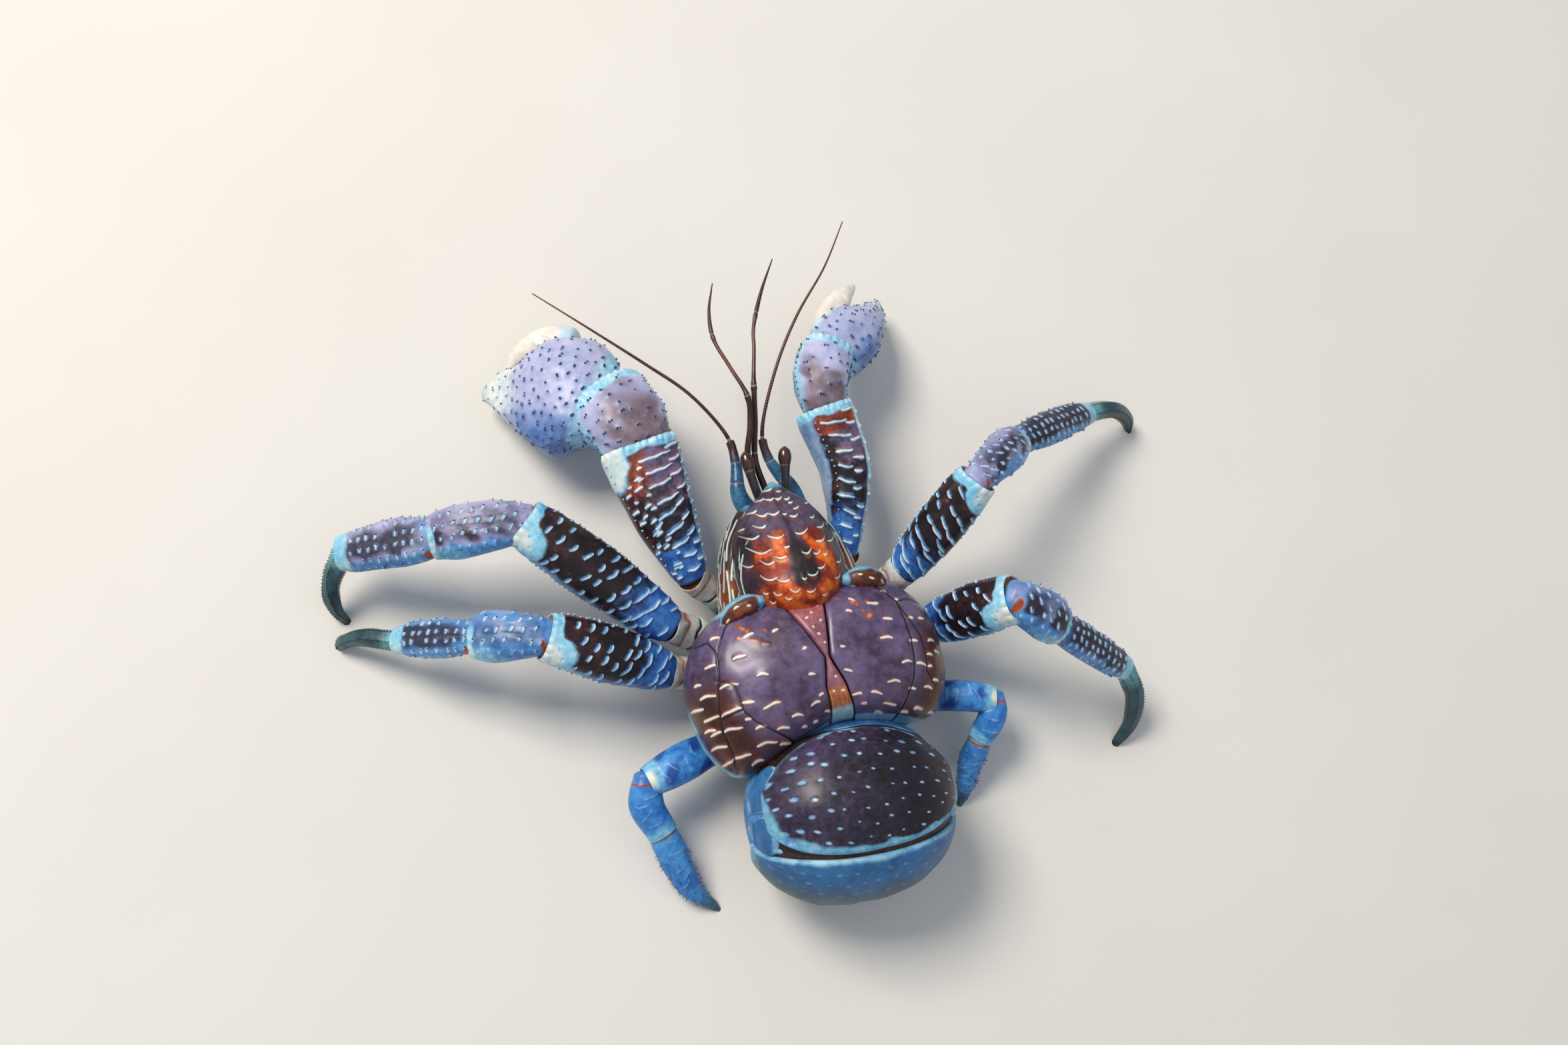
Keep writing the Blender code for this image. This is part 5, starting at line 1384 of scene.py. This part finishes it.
def leg_thigh(name, leg, number, rng):
    """The thigh: staggered rows of crescents, a frilled rim, and a pitted bone corner at the knee."""
    w, flip = leg["thigh"], leg["flip"]
    thigh = segment(bowed(leg["shoulder"], leg["knee"], 2.5), THIGH_PLAN, w, rings=172, sides=148)
    s, a, length = thigh["along"], flip * thigh["around"], thigh["length"]
    wander = lumps(thigh["points"], 5, number)
    upper = ramp(thigh["normal"][..., 2], -0.35, 0.05)
    marks = []
    rows = int(length / THIGH_ROW_GAP)
    for k in range(rows):
        for place, column in enumerate((-1.6, -1.05, -0.5, 0.05, 0.6, 1.1, 1.5)):
            if rng.uniform() < 0.06:
                continue
            at = 4 + (length - 10) * (k + 0.5 * (place % 2)) / rows + rng.uniform(-1.4, 1.4)
            near_body = ramp(at / length, 0.75, 0.1)
            stroke = leg["stroke"] if column < 1 else 0.8
            half = w * (0.17 + 0.17 * near_body) * rng.uniform(0.75, 1.3) * stroke
            across = column * w + rng.uniform(-1.4, 1.4)
            slant = leg["tilt"] + rng.uniform(-0.15, 0.15)
            marks.append((across, at, half, 0.22 * half, slant, rng.uniform(0.8, 1.1)))
    lift, pale, halo = far_scales(a, s, marks, back=1.5, front=0.5, wide=0.55, shade=-0.8, glow=0.95)
    distance = np.hypot((s - length + 3) / 1.2, (a + 0.8 * w) / 1.15) + 0.8 * wander
    corner = ramp(distance, 0.85 * w, 0.62 * w)
    rim = ramp(s + wander, length - 6, length - 3.6)
    bare = 1 - np.maximum(corner, rim)
    frill = ramp(s, length - 4, length - 1) * np.abs(np.sin(0.7 * a))
    holes = ((0, 1.05), (4.5, 0.75), (1.5, 0.45))
    pits = sum(bell(np.hypot(s - length + 4 + p, a + q * w), 0.7) for p, q in holes)
    lift = lift * upper * bare + 0.5 * corner + 0.6 * frill - 0.5 * pits
    lower = ramp(a, -0.95 * w, -1.4 * w) * ramp(a, -2.7 * w, -2.1 * w)
    rusty = bell(np.hypot(s - length + 4, a + 0.05 * w), 2.4)
    masks = {
        "pale": pale * upper * bare,
        "dusk_and_painted_sheen": 0.8 * pits,
        "warm": 0.9 * rusty + 0.22 * ramp(s / length + 0.3 * wander, 0.4, 0.9),
        "blue": unit(ramp(s / length + 0.06 * wander, 0.42, 0.1) + 0.8 * lower),
        "rim": unit(rim + corner + 0.6 * lower * ramp(s / length, 0.3, 0.8)),
        "bone": 0.8 * ramp(distance, 0.62 * w, 0.2 * w) * (1 - pits) + 0.4 * frill * rim,
        "glow": 0.8 * halo * upper * bare,
    }
    dress(f"{name}_thigh", raised(thigh, lift), masks, ARM_SHELL, "purple", end=SOCKET_END)
    teeth = [(v, flip * q * w) for q in (1.38, -1.72) for v in np.arange(6, length - 3, 3.0)]
    teeth = [(p + rng.uniform(-0.9, 0.9), q + rng.uniform(-0.6, 0.6)) for p, q in teeth]
    sizes = rng.uniform(0.5, 0.95, len(teeth))
    stud_row(f"{name}_thigh_teeth", thigh, teeth, sizes, PALE_STUD, "purple", height=1.3)


def leg_shin(name, leg, number, rng):
    """The shin: small bumps in staggered rows, dark on top and blue in front, with a frilled rim."""
    w, flip = leg["shin"], leg["flip"]
    start = backed(leg["knee"], leg["wrist"], 4)
    shin = segment(bowed(start, leg["wrist"], 2.5), SHIN_PLAN, w, rings=114, sides=126)
    s, a, length = shin["along"], flip * shin["around"], shin["length"]
    wander = lumps(shin["points"], 5, number + 10)
    upper = ramp(shin["normal"][..., 2], -0.3, 0.1)
    marks = []
    for k in range(int(length / SHIN_ROW_GAP)):
        for place, column in enumerate((-1.2, -0.75, -0.3, 0.15, 0.6, 1.05, 1.45)):
            at = 5 + SHIN_ROW_GAP * (k + 0.5 * (place % 2)) + rng.uniform(-0.8, 0.8)
            if at < length - 3 and rng.uniform() < 0.9:
                across = column * w + rng.uniform(-0.8, 0.8)
                half, slant = rng.uniform(1.0, 2.0), -rng.uniform(0.2, 0.6)
                marks.append((across, at, half, 0.2, slant, rng.uniform(0.7, 1.1)))
    lift, pale, halo = far_scales(a, s, marks, back=1.7, front=0.45, wide=0.7, shade=-0.6, glow=1.1)
    rim = ramp(s + 0.8 * wander, length - 3.2, length - 1.8)
    frill = ramp(s, length - 3.0, length - 1) * np.abs(np.sin(0.8 * a))
    lift = lift * upper * (1 - rim) + 0.25 * frill
    low = ramp(a + 2 * wander, -0.35 * w, -0.95 * w)
    dark = leg["gloom"] * bell((a + 2 * wander) / w, 0.75) * ramp(s, 2, 9) * (0.8 + 0.4 * wander)
    far_low = low * ramp(s / length + 0.1 * wander, 0.4, 0.9)
    masks = {
        "pale": 0.85 * pale * upper * (1 - rim) * (1 - 0.5 * low),
        "glow": 0.7 * halo * upper * (1 - rim) * (1 - 0.6 * low),
        "dusk_and_painted_sheen": unit(dark) * (1 - rim) * (1 - low),
        "warm": ramp(np.hypot((s - 3.8) / 0.8, (a + 0.55 * w) / 2) + 0.8 * wander, 2.8, 1.2),
        "blue": unit(low + ramp(upper, 0.6, 0.1) + leg["azure"] * (0.9 + 0.4 * wander)),
        "rim": unit(0.8 * rim * ramp(a, 0.6 * w, 0) + 0.8 * far_low),
        "bone": 0.5 * rim * ramp(a, 0, -0.9 * w) + 0.3 * frill,
    }
    dress(f"{name}_shin", raised(shin, lift), masks, LEG_SHELL, "lavender", end=SOCKET_END)
    teeth = [(y - 0.3, flip * (x + 0.6 * half)) for x, y, half, *_ in marks if x > -0.6 * w]
    sizes = rng.uniform(0.3, 0.5, len(teeth))
    stud_row(f"{name}_shin_teeth", shin, teeth, sizes, BLACK_STUD, "lavender", height=1.5)


def leg_foot(name, leg, number, rng):
    """The foot segment: rows of small bumps, a dark band over its top, and a pale cuff at its end."""
    w, flip = leg["foot"], leg["flip"]
    start = backed(leg["wrist"], leg["ankle"], 4)
    foot = segment(bowed(start, leg["ankle"], 1), FOOT_PLAN, w, rings=130, sides=120)
    s, a, length = foot["along"], flip * foot["around"], foot["length"]
    wander = lumps(foot["points"], 5, number + 20)
    upper = ramp(foot["normal"][..., 2], -0.3, 0.1)
    marks = []
    for k in range(int((length - 9) / FOOT_ROW_GAP)):
        for column in (-1.25, -0.75, -0.25, 0.25, 0.75, 1.2, 1.6):
            at = 6 + FOOT_ROW_GAP * k + rng.uniform(-0.7, 0.7)
            across = column * w + rng.uniform(-0.5, 0.5)
            if rng.uniform() < 0.95:
                marks.append((across, at, rng.uniform(1.2, 1.9), 0.2, -0.15, rng.uniform(0.7, 1.1)))
    lift, pale, halo = far_scales(a, s, marks, back=1.5, front=0.45, wide=0.75, shade=-0.5, glow=1.1)
    cuff = ramp(s + wander, length - 9.5, length - 5)
    lift = lift * upper * (1 - cuff)
    top, ragged = leg["top"], a + 2 * wander
    band = ramp(ragged, (top + 0.2) * w, (top - 0.6) * w) * ramp(ragged, -1.1 * w, -0.3 * w)
    root = ramp(s + 2 * wander, 10, 4) * 0.6
    masks = {
        "pale": 0.75 * pale * upper * (1 - cuff),
        "glow": 0.75 * halo * upper * (1 - cuff),
        "dusk_and_painted_sheen": min(1.0, 0.55 + 0.3 * top) * band * ramp(s + 2 * wander, 2, 12) * (1 - cuff),
        "warm": 0.8 * ramp(np.hypot(s - 5, a + 0.95 * w), 4, 2),
        "blue": unit(ramp(a, -0.4 * w, -1.0 * w) + 1.1 * leg["azure"] + root),
        "rim": cuff,
        "bone": 0.5 * cuff * ramp(a, 0.2 * w, -0.8 * w),
    }
    dress(f"{name}_foot", raised(foot, lift), masks, LEG_SHELL, "lavender", end=SOCKET_END)
    teeth = [(y - 0.3, flip * (x + 0.7 * half)) for x, y, half, *_ in marks]
    sizes = rng.uniform(0.3, 0.5, len(teeth))
    stud_row(f"{name}_foot_teeth", foot, teeth, sizes, BLACK_STUD, "lavender", height=1.5)


def leg_toe(name, leg):
    """The curved toe: six low ridges along it, each with a row of black spines that shrink to the tip."""
    sink = tuple(np.asarray(leg["tip"], float) + (0, 0, -1.2))
    line = [backed(leg["ankle"], leg["toe"][0], 3), *leg["toe"], sink]
    toe = tube(line, TOE_SIZES, rings=110, sides=48, up=(0.3, 0, 1), crowd=1.0)
    relief = raised(toe, 0.35 * np.clip(np.cos(toe["turn"] * 6), 0, 1))
    masks = {"rim": ramp(toe["share"], 0.35, 0.0), "dark": ramp(toe["share"], 0.88, 1.0)}
    dress(f"{name}_toe", relief, masks, TOE_SHELL, "teal")
    spines = []
    for row in range(6):
        turn = row * math.pi / 3
        for at in np.arange(3 + (row % 2), toe["length"] - 3, SPINE_GAP):
            i = int(np.argmin(np.abs(toe["along"][:, 0] - at)))
            j = int(np.argmin(np.abs(np.mod(toe["turn"][i] - turn + math.pi, 2 * math.pi) - math.pi)))
            if relief[i, j, 2] > 1.5:
                spines.append((relief[i, j], toe["normal"][i, j], 0.42 * (1 - 0.4 * at / toe["length"])))
    places, facing, sizes = zip(*spines)
    studs(f"{name}_toe_spines", places, facing, sizes, BLACK_STUD, "teal", sides=6, height=1.7, blunt=0.12)


for number, (name, leg) in enumerate(LEGS.items()):
    rng = np.random.default_rng(FIRST_LEG_SEED + number)
    joint_base(f"{name}_base", leg["hip"], leg["shoulder"], LEG_BASE_SIZES)
    leg_thigh(name, leg, number, rng)
    leg_shin(name, leg, number, rng)
    leg_foot(name, leg, number, rng)
    leg_toe(name, leg)
    for joint, before, after, size in (
        ("knee", leg["shoulder"], leg["wrist"], 0.56 * leg["shin"]),
        ("wrist", leg["knee"], leg["ankle"], 0.66 * leg["foot"]),
        ("ankle", leg["wrist"], leg["toe"][0], 4.9),
    ):
        axis = np.asarray(after, float) - np.asarray(before, float)
        joint_ball(f"{name}_{joint}_skin", leg[joint], axis, size, 3.0)

# Small legs
# The slim fourth pair, folded back beside the tail. They are bright blue shell with darker veins, pale
# at the knees, with orange skin in the joints and a few stiff hairs near the tips.

SMALL_LEG_SHELL = crab_shell(
    "bright_blue_leg_shell",
    ("#1f62b0", "#4a9ade"),
    [
        ("dusk_and_painted_sheen", "#173c84", "#2452a4", 1.0),
        ("rim", "#4f9ccc", "#8cc8e0", 0.8),
        ("bone", "#cfdccc", "#ece4c8", 0.5),
        ("pale", "#8cc0e0", "#b8dcea", 0.4),
        ("tip", "#284b5c", "#42707e", 0.6),
        ("warm", "#7a2c12", "#b4541c", 0.5),
        ("hollow", "#8c3c18", "#c87a44", 0.3),
    ],
    roughness=0.38,
    coat=0.15,
)
HAIR = stud_finish("stiff_brown_hair", "#5c4630", "#2c2018", 0.5)
HAIR_COUNT = 110
SMALL_LINES = {
    "left": [
        [(-48, -17, 22), (-74, -23, 31), (-93, -27.5, 32)],
        [(-93, -24, 32.5), (-96, -39, 29), (-91.5, -53, 23.5)],
        [(-92.5, -49, 25), (-88, -68, 15), (-83, -83, 8), (-72, -97, -0.8)],
    ],
    "right": [
        [(50, -20, 22), (73, -28, 32), (89, -33.5, 33)],
        [(90, -30.5, 33), (86, -42.5, 30), (77.5, -51, 24.5)],
        [(79.5, -49, 26), (72, -61.5, 15), (68.5, -72, 7), (64.5, -80.5, -0.8)],
    ],
}
SMALL_PLANS = {
    "thigh": [(0, 8, 7), (0.5, 9.5, 8), (0.9, 8.6, 7.5), (1, 7.8, 7)],
    "shin": [(0, 6, 5.5), (0.4, 8.6, 7), (1, 7.4, 6.4)],
    "foot": [(0, 6.4, 5.6), (0.3, 7.9, 6.2), (0.6, 6.6, 5), (0.8, 4.2, 3.4), (1, 1.5, 1.5)],
}
for side, bulk, seed in (("left", 1.0, 71), ("right", 0.86, 72)):
    rng = np.random.default_rng(seed)
    for part, line in zip(("thigh", "shin", "foot"), SMALL_LINES[side]):
        last = part == "foot"
        limb = segment(line, SMALL_PLANS[part], bulk, rings=92, sides=84)
        s, a, length = limb["along"], limb["around"], limb["length"]
        marks = []
        for k in range(int(length / 5)):
            at = 4 + 5 * k + rng.uniform(-1, 1)
            marks.append((rng.uniform(-4, 4), at, rng.uniform(2.5, 5), -0.8, rng.uniform(-0.2, 0.5), 0.28))
        lift, pale, _ = scales(a, s, marks, back=1.2, front=0.5)
        upper = ramp(limb["normal"][..., 2], -0.2, 0.2)
        knee = ramp(s / length, 0.86, 0.97) if part == "thigh" else ramp(s / length, 0.97, 1.02)
        veins = ramp(np.sin(s / 2.6) + np.sin(a / 2.3 + s / 4), 0.2, 1.4)
        masks = {
            "pale": 0.45 * pale * upper,
            "dusk_and_painted_sheen": (0.8 if part == "thigh" else 0.4) * veins,
            "rim": ramp(s / length, 0.2, 0.0) if last else ramp(s / length, 0.75, 0.95),
            "bone": 0.85 * knee * bell(a, 4.5),
            "tip": 0.9 * ramp(s / length, 0.55, 1.0) if last else 0,
            "warm": 0.8 * bell(s - 4.4, 0.9) + (0.5 * ramp(s / length, 0.94, 1.0) if last else 0),
        }
        end = ROUND_END if last else SOCKET_END
        dress(f"leg4_{side}_{part}", raised(limb, lift * upper), masks, SMALL_LEG_SHELL, "blue", end=end)
        if not last:
            axis = np.asarray(line[-1], float) - np.asarray(line[-2], float)
            joint_ball(f"leg4_{side}_{part}_joint", line[-1], axis, 5.2 * bulk, 2.2)
            continue
        spots = [(rng.uniform(0.25, 0.95) * length, rng.uniform(-14, 14)) for _ in range(HAIR_COUNT)]
        places, facing = pick(limb, spots)
        keep = places[:, 2] > 1.5
        lean = facing[keep] + np.array([0.0, -0.5, -0.2]) + rng.uniform(-0.2, 0.2, (keep.sum(), 3))
        sizes = rng.uniform(0.15, 0.26, keep.sum())
        studs(f"leg4_{side}_hairs", places[keep], lean, sizes, HAIR, "blue", sides=5, height=6.0, blunt=0.2)

# Eyes
# Two stalked eyes stand beside the beak: a dark brown stalk and a wet red-brown cornea at its end.
# Each is one closed skin, swollen at the end.

EYE_SHELL = crab_shell(
    "wet_red_brown_eye",
    ("#120a09", "#26140e"),
    [("warm", "#1e0606", "#4a100c", 0.9), ("pale", "#5c3c30", "#7c5a48", 0.3)],
    roughness=0.14,
    coat=1.0,
    pits=0.05,
    mottle_mm=2.0,
)


def round_limb(line, radii, rings, sides):
    """A smooth round limb from its line and its radii at shares of the length."""
    sizes = [(share, radius, radius, radius) for share, radius in radii]
    return tube(line, sizes, rings=rings, sides=sides, square=2, crowd=1.0, uneven=0.0)


EYE_RADII = [(0, 2.6), (0.35, 2.2), (0.6, 2.5), (0.8, 3.4), (0.94, 2.6), (1, 1.0)]
for side, line in (
    ("left", [(-3.5, 91, 50), (-6, 101, 55), (-6.5, 117, 58)]),
    ("right", [(9, 91, 50), (11, 101, 55), (14, 115, 58)]),
):
    stalk = round_limb(line, EYE_RADII, rings=70, sides=48)
    masks = {"warm": ramp(stalk["share"], 0.66, 0.74), "pale": 0.7 * bell(stalk["share"] - 0.64, 0.02)}
    dress(f"eye_{side}", stalk["points"], masks, EYE_SHELL, "eye")

# Feelers
# Each long feeler has a jointed blue and brown stem and a thin ringed whip. Each short feeler is a
# jointed dark stem with a fine whip at its end. All are closed skins with the rings raised in them.

FEELER_SHELL = crab_shell(
    "ringed_brown_feeler",
    ("#24140f", "#4a2a22"),
    [
        ("blue", "#1c3f66", "#3f7fa8", 0.7),
        ("dusk_and_painted_sheen", "#5a342c", "#74473c", 0.3),
        ("pale", "#8a8478", "#a8a498", 0.3),
    ],
    roughness=0.3,
    coat=0.3,
    mottle_mm=3.0,
)
LONG_RADII = [(0, 5), (0.05, 4.6), (0.13, 3.2), (0.2, 2.3), (0.235, 2.2), (0.26, 1.05), (0.6, 0.8), (1, 0.3)]
SHORT_RADII = [(0, 2.0), (0.15, 1.7), (0.4, 1.4), (0.45, 1.7), (0.5, 1.1), (0.7, 1.0), (0.76, 1.2), (1, 0.3)]
FEELER_LINES = {
    "long_left": [(-9, 90, 40), (-12.5, 100, 44), (-10, 116, 46), (-11.5, 131.5, 48), (-25, 153.5, 55),
                  (-43.5, 172.5, 60), (-70, 200, 62), (-89.5, 221.5, 60)],
    "long_right": [(17, 88, 38), (14.5, 98, 42), (7, 114.5, 46), (8, 130.5, 50), (22, 157.5, 58),
                   (39, 180.5, 62), (60, 202.5, 63), (78, 226.5, 60)],
    "short_left": [(-2.5, 92, 44), (-4.5, 114.5, 52), (0, 130, 58), (2, 144, 62), (-2.5, 161, 62),
                   (-6.5, 177.5, 61), (-4.5, 193, 59), (2, 209, 56)],
    "short_right": [(2.5, 92, 43), (0, 114, 47), (4, 133, 54.5), (8, 152.5, 60), (12.5, 168, 60),
                    (16, 180.5, 59), (25, 198, 58), (36.5, 215.5, 56)],
}
for name, line in FEELER_LINES.items():
    long = name.startswith("long")
    whip = round_limb(line, LONG_RADII if long else SHORT_RADII, rings=520, sides=16)
    share = whip["share"]
    if long:
        thin = ramp(share, 0.25, 0.27)
        rings_up = thin * 0.06 * np.cos(whip["along"] * 2 * math.pi / 1.5)
        joints = sum(bell(share - at, 0.004) for at in (0.1, 0.165, 0.2425))
        masks = {"blue": ramp(share, 0.24, 0.1), "dusk_and_painted_sheen": thin * unit(rings_up * 16), "pale": 0.5 * joints}
    else:
        thin = ramp(share, 0.76, 0.8)
        rings_up = thin * 0.05 * np.cos(whip["along"] * 2 * math.pi / 1.2)
        joints = sum(bell(share - at, 0.004) for at in (0.2, 0.455, 0.755))
        masks = {"dusk_and_painted_sheen": 0.8 * bell(share - 0.62, 0.12), "pale": 0.6 * joints}
    lift = rings_up - 0.25 * joints * (1 - thin)
    dress(f"feeler_{name}", raised(whip, lift), masks, FEELER_SHELL, "feeler")

# Floor, light and camera
# A plain pale studio floor, large soft lights, and a camera at the photograph's angle on the animal:
# high above it, a little to its left and behind, with the head up and leaning left in the picture.

floor_mesh = bpy.data.meshes.new("studio_floor")
floor_mesh.from_pydata([(-12, -12, 0), (12, -12, 0), (12, 12, 0), (-12, 12, 0)], [], [(0, 1, 2, 3)])
floor = in_scene("studio_floor", floor_mesh)
FLOOR_FINISH, tree, shader, place = new_finish("matt_pale_floor")
grain = add(tree, "ShaderNodeTexNoise", {"Scale": 6.0, "Detail": 3.0}, {"Vector": place})
ends = {6: hexed("#d9d6d0"), 7: hexed("#e2e0db")}
tint = add(tree, "ShaderNodeMix", ends, {0: grain}, data_type="RGBA")
tree.links.new(tint.outputs[2], shader.inputs["Base Color"])
shader.inputs["Roughness"].default_value = 0.85
floor_mesh.materials.append(FLOOR_FINISH)

world = bpy.data.worlds.new("soft_studio")
world.use_nodes = True
world.node_tree.nodes["Background"].inputs["Color"].default_value = hexed("#dfe6ee")
world.node_tree.nodes["Background"].inputs["Strength"].default_value = 0.5
bpy.context.scene.world = world

LIGHT_AIM = np.array([0, 0, 0.04])


def stood(name, data, across, up, back, place):
    """A light or camera in the scene, from its three axes and its place in metres."""
    made = in_scene(name, data)
    made.matrix_world = Matrix([[across[k], up[k], back[k], place[k]] for k in range(3)] + [[0, 0, 0, 1]])
    return made


def soft_light(name, place, size, power, colour):
    """A large square area light at a place in metres, aimed at the animal."""
    lamp = bpy.data.lights.new(name, "AREA")
    lamp.shape = "SQUARE"
    lamp.size = size
    lamp.energy = power
    lamp.color = hexed(colour)[:3]
    back = np.asarray(place, float) - LIGHT_AIM
    back /= np.linalg.norm(back)
    across = np.cross((0.0, 1.0, 0.001), back)
    across /= np.linalg.norm(across)
    stood(name, lamp, across, np.cross(back, across), back, place)


soft_light("key_light", (-1.0, 1.3, 2.1), 1.0, 66, "#fff6ea")
soft_light("sky_light", (0.6, -0.5, 2.3), 2.2, 5, "#dde4ff")

# How far the animal's head leans left in the picture, and how far the view tips sideways and back.
LEAN = math.radians(16)
ROLL = math.radians(9)
PITCH = math.radians(14)
CAMERA_AIM = np.array([2.510, 76.737, 60.0])
CAMERA_AWAY = 760.0
right = np.array([math.cos(LEAN), -math.sin(LEAN), 0.0])
up = np.array([math.sin(LEAN), math.cos(LEAN), 0.0])
back = -math.tan(ROLL) * right - math.tan(PITCH) * up + np.array([0, 0, 1.0])
back /= np.linalg.norm(back)
camera_x = np.cross(up, back)
camera_x /= np.linalg.norm(camera_x)
place = (CAMERA_AIM + CAMERA_AWAY * back + FOOTPRINT_SHIFT) * MM
lens = bpy.data.cameras.new("photo_camera")
lens.lens = 35.0
lens.sensor_width = 36.0
lens.sensor_fit = "HORIZONTAL"
lens.clip_start = 0.01
camera = stood("photo_camera", lens, camera_x, np.cross(back, camera_x), back, place)
bpy.context.scene.camera = camera
bpy.context.scene.view_settings.view_transform = "Standard"
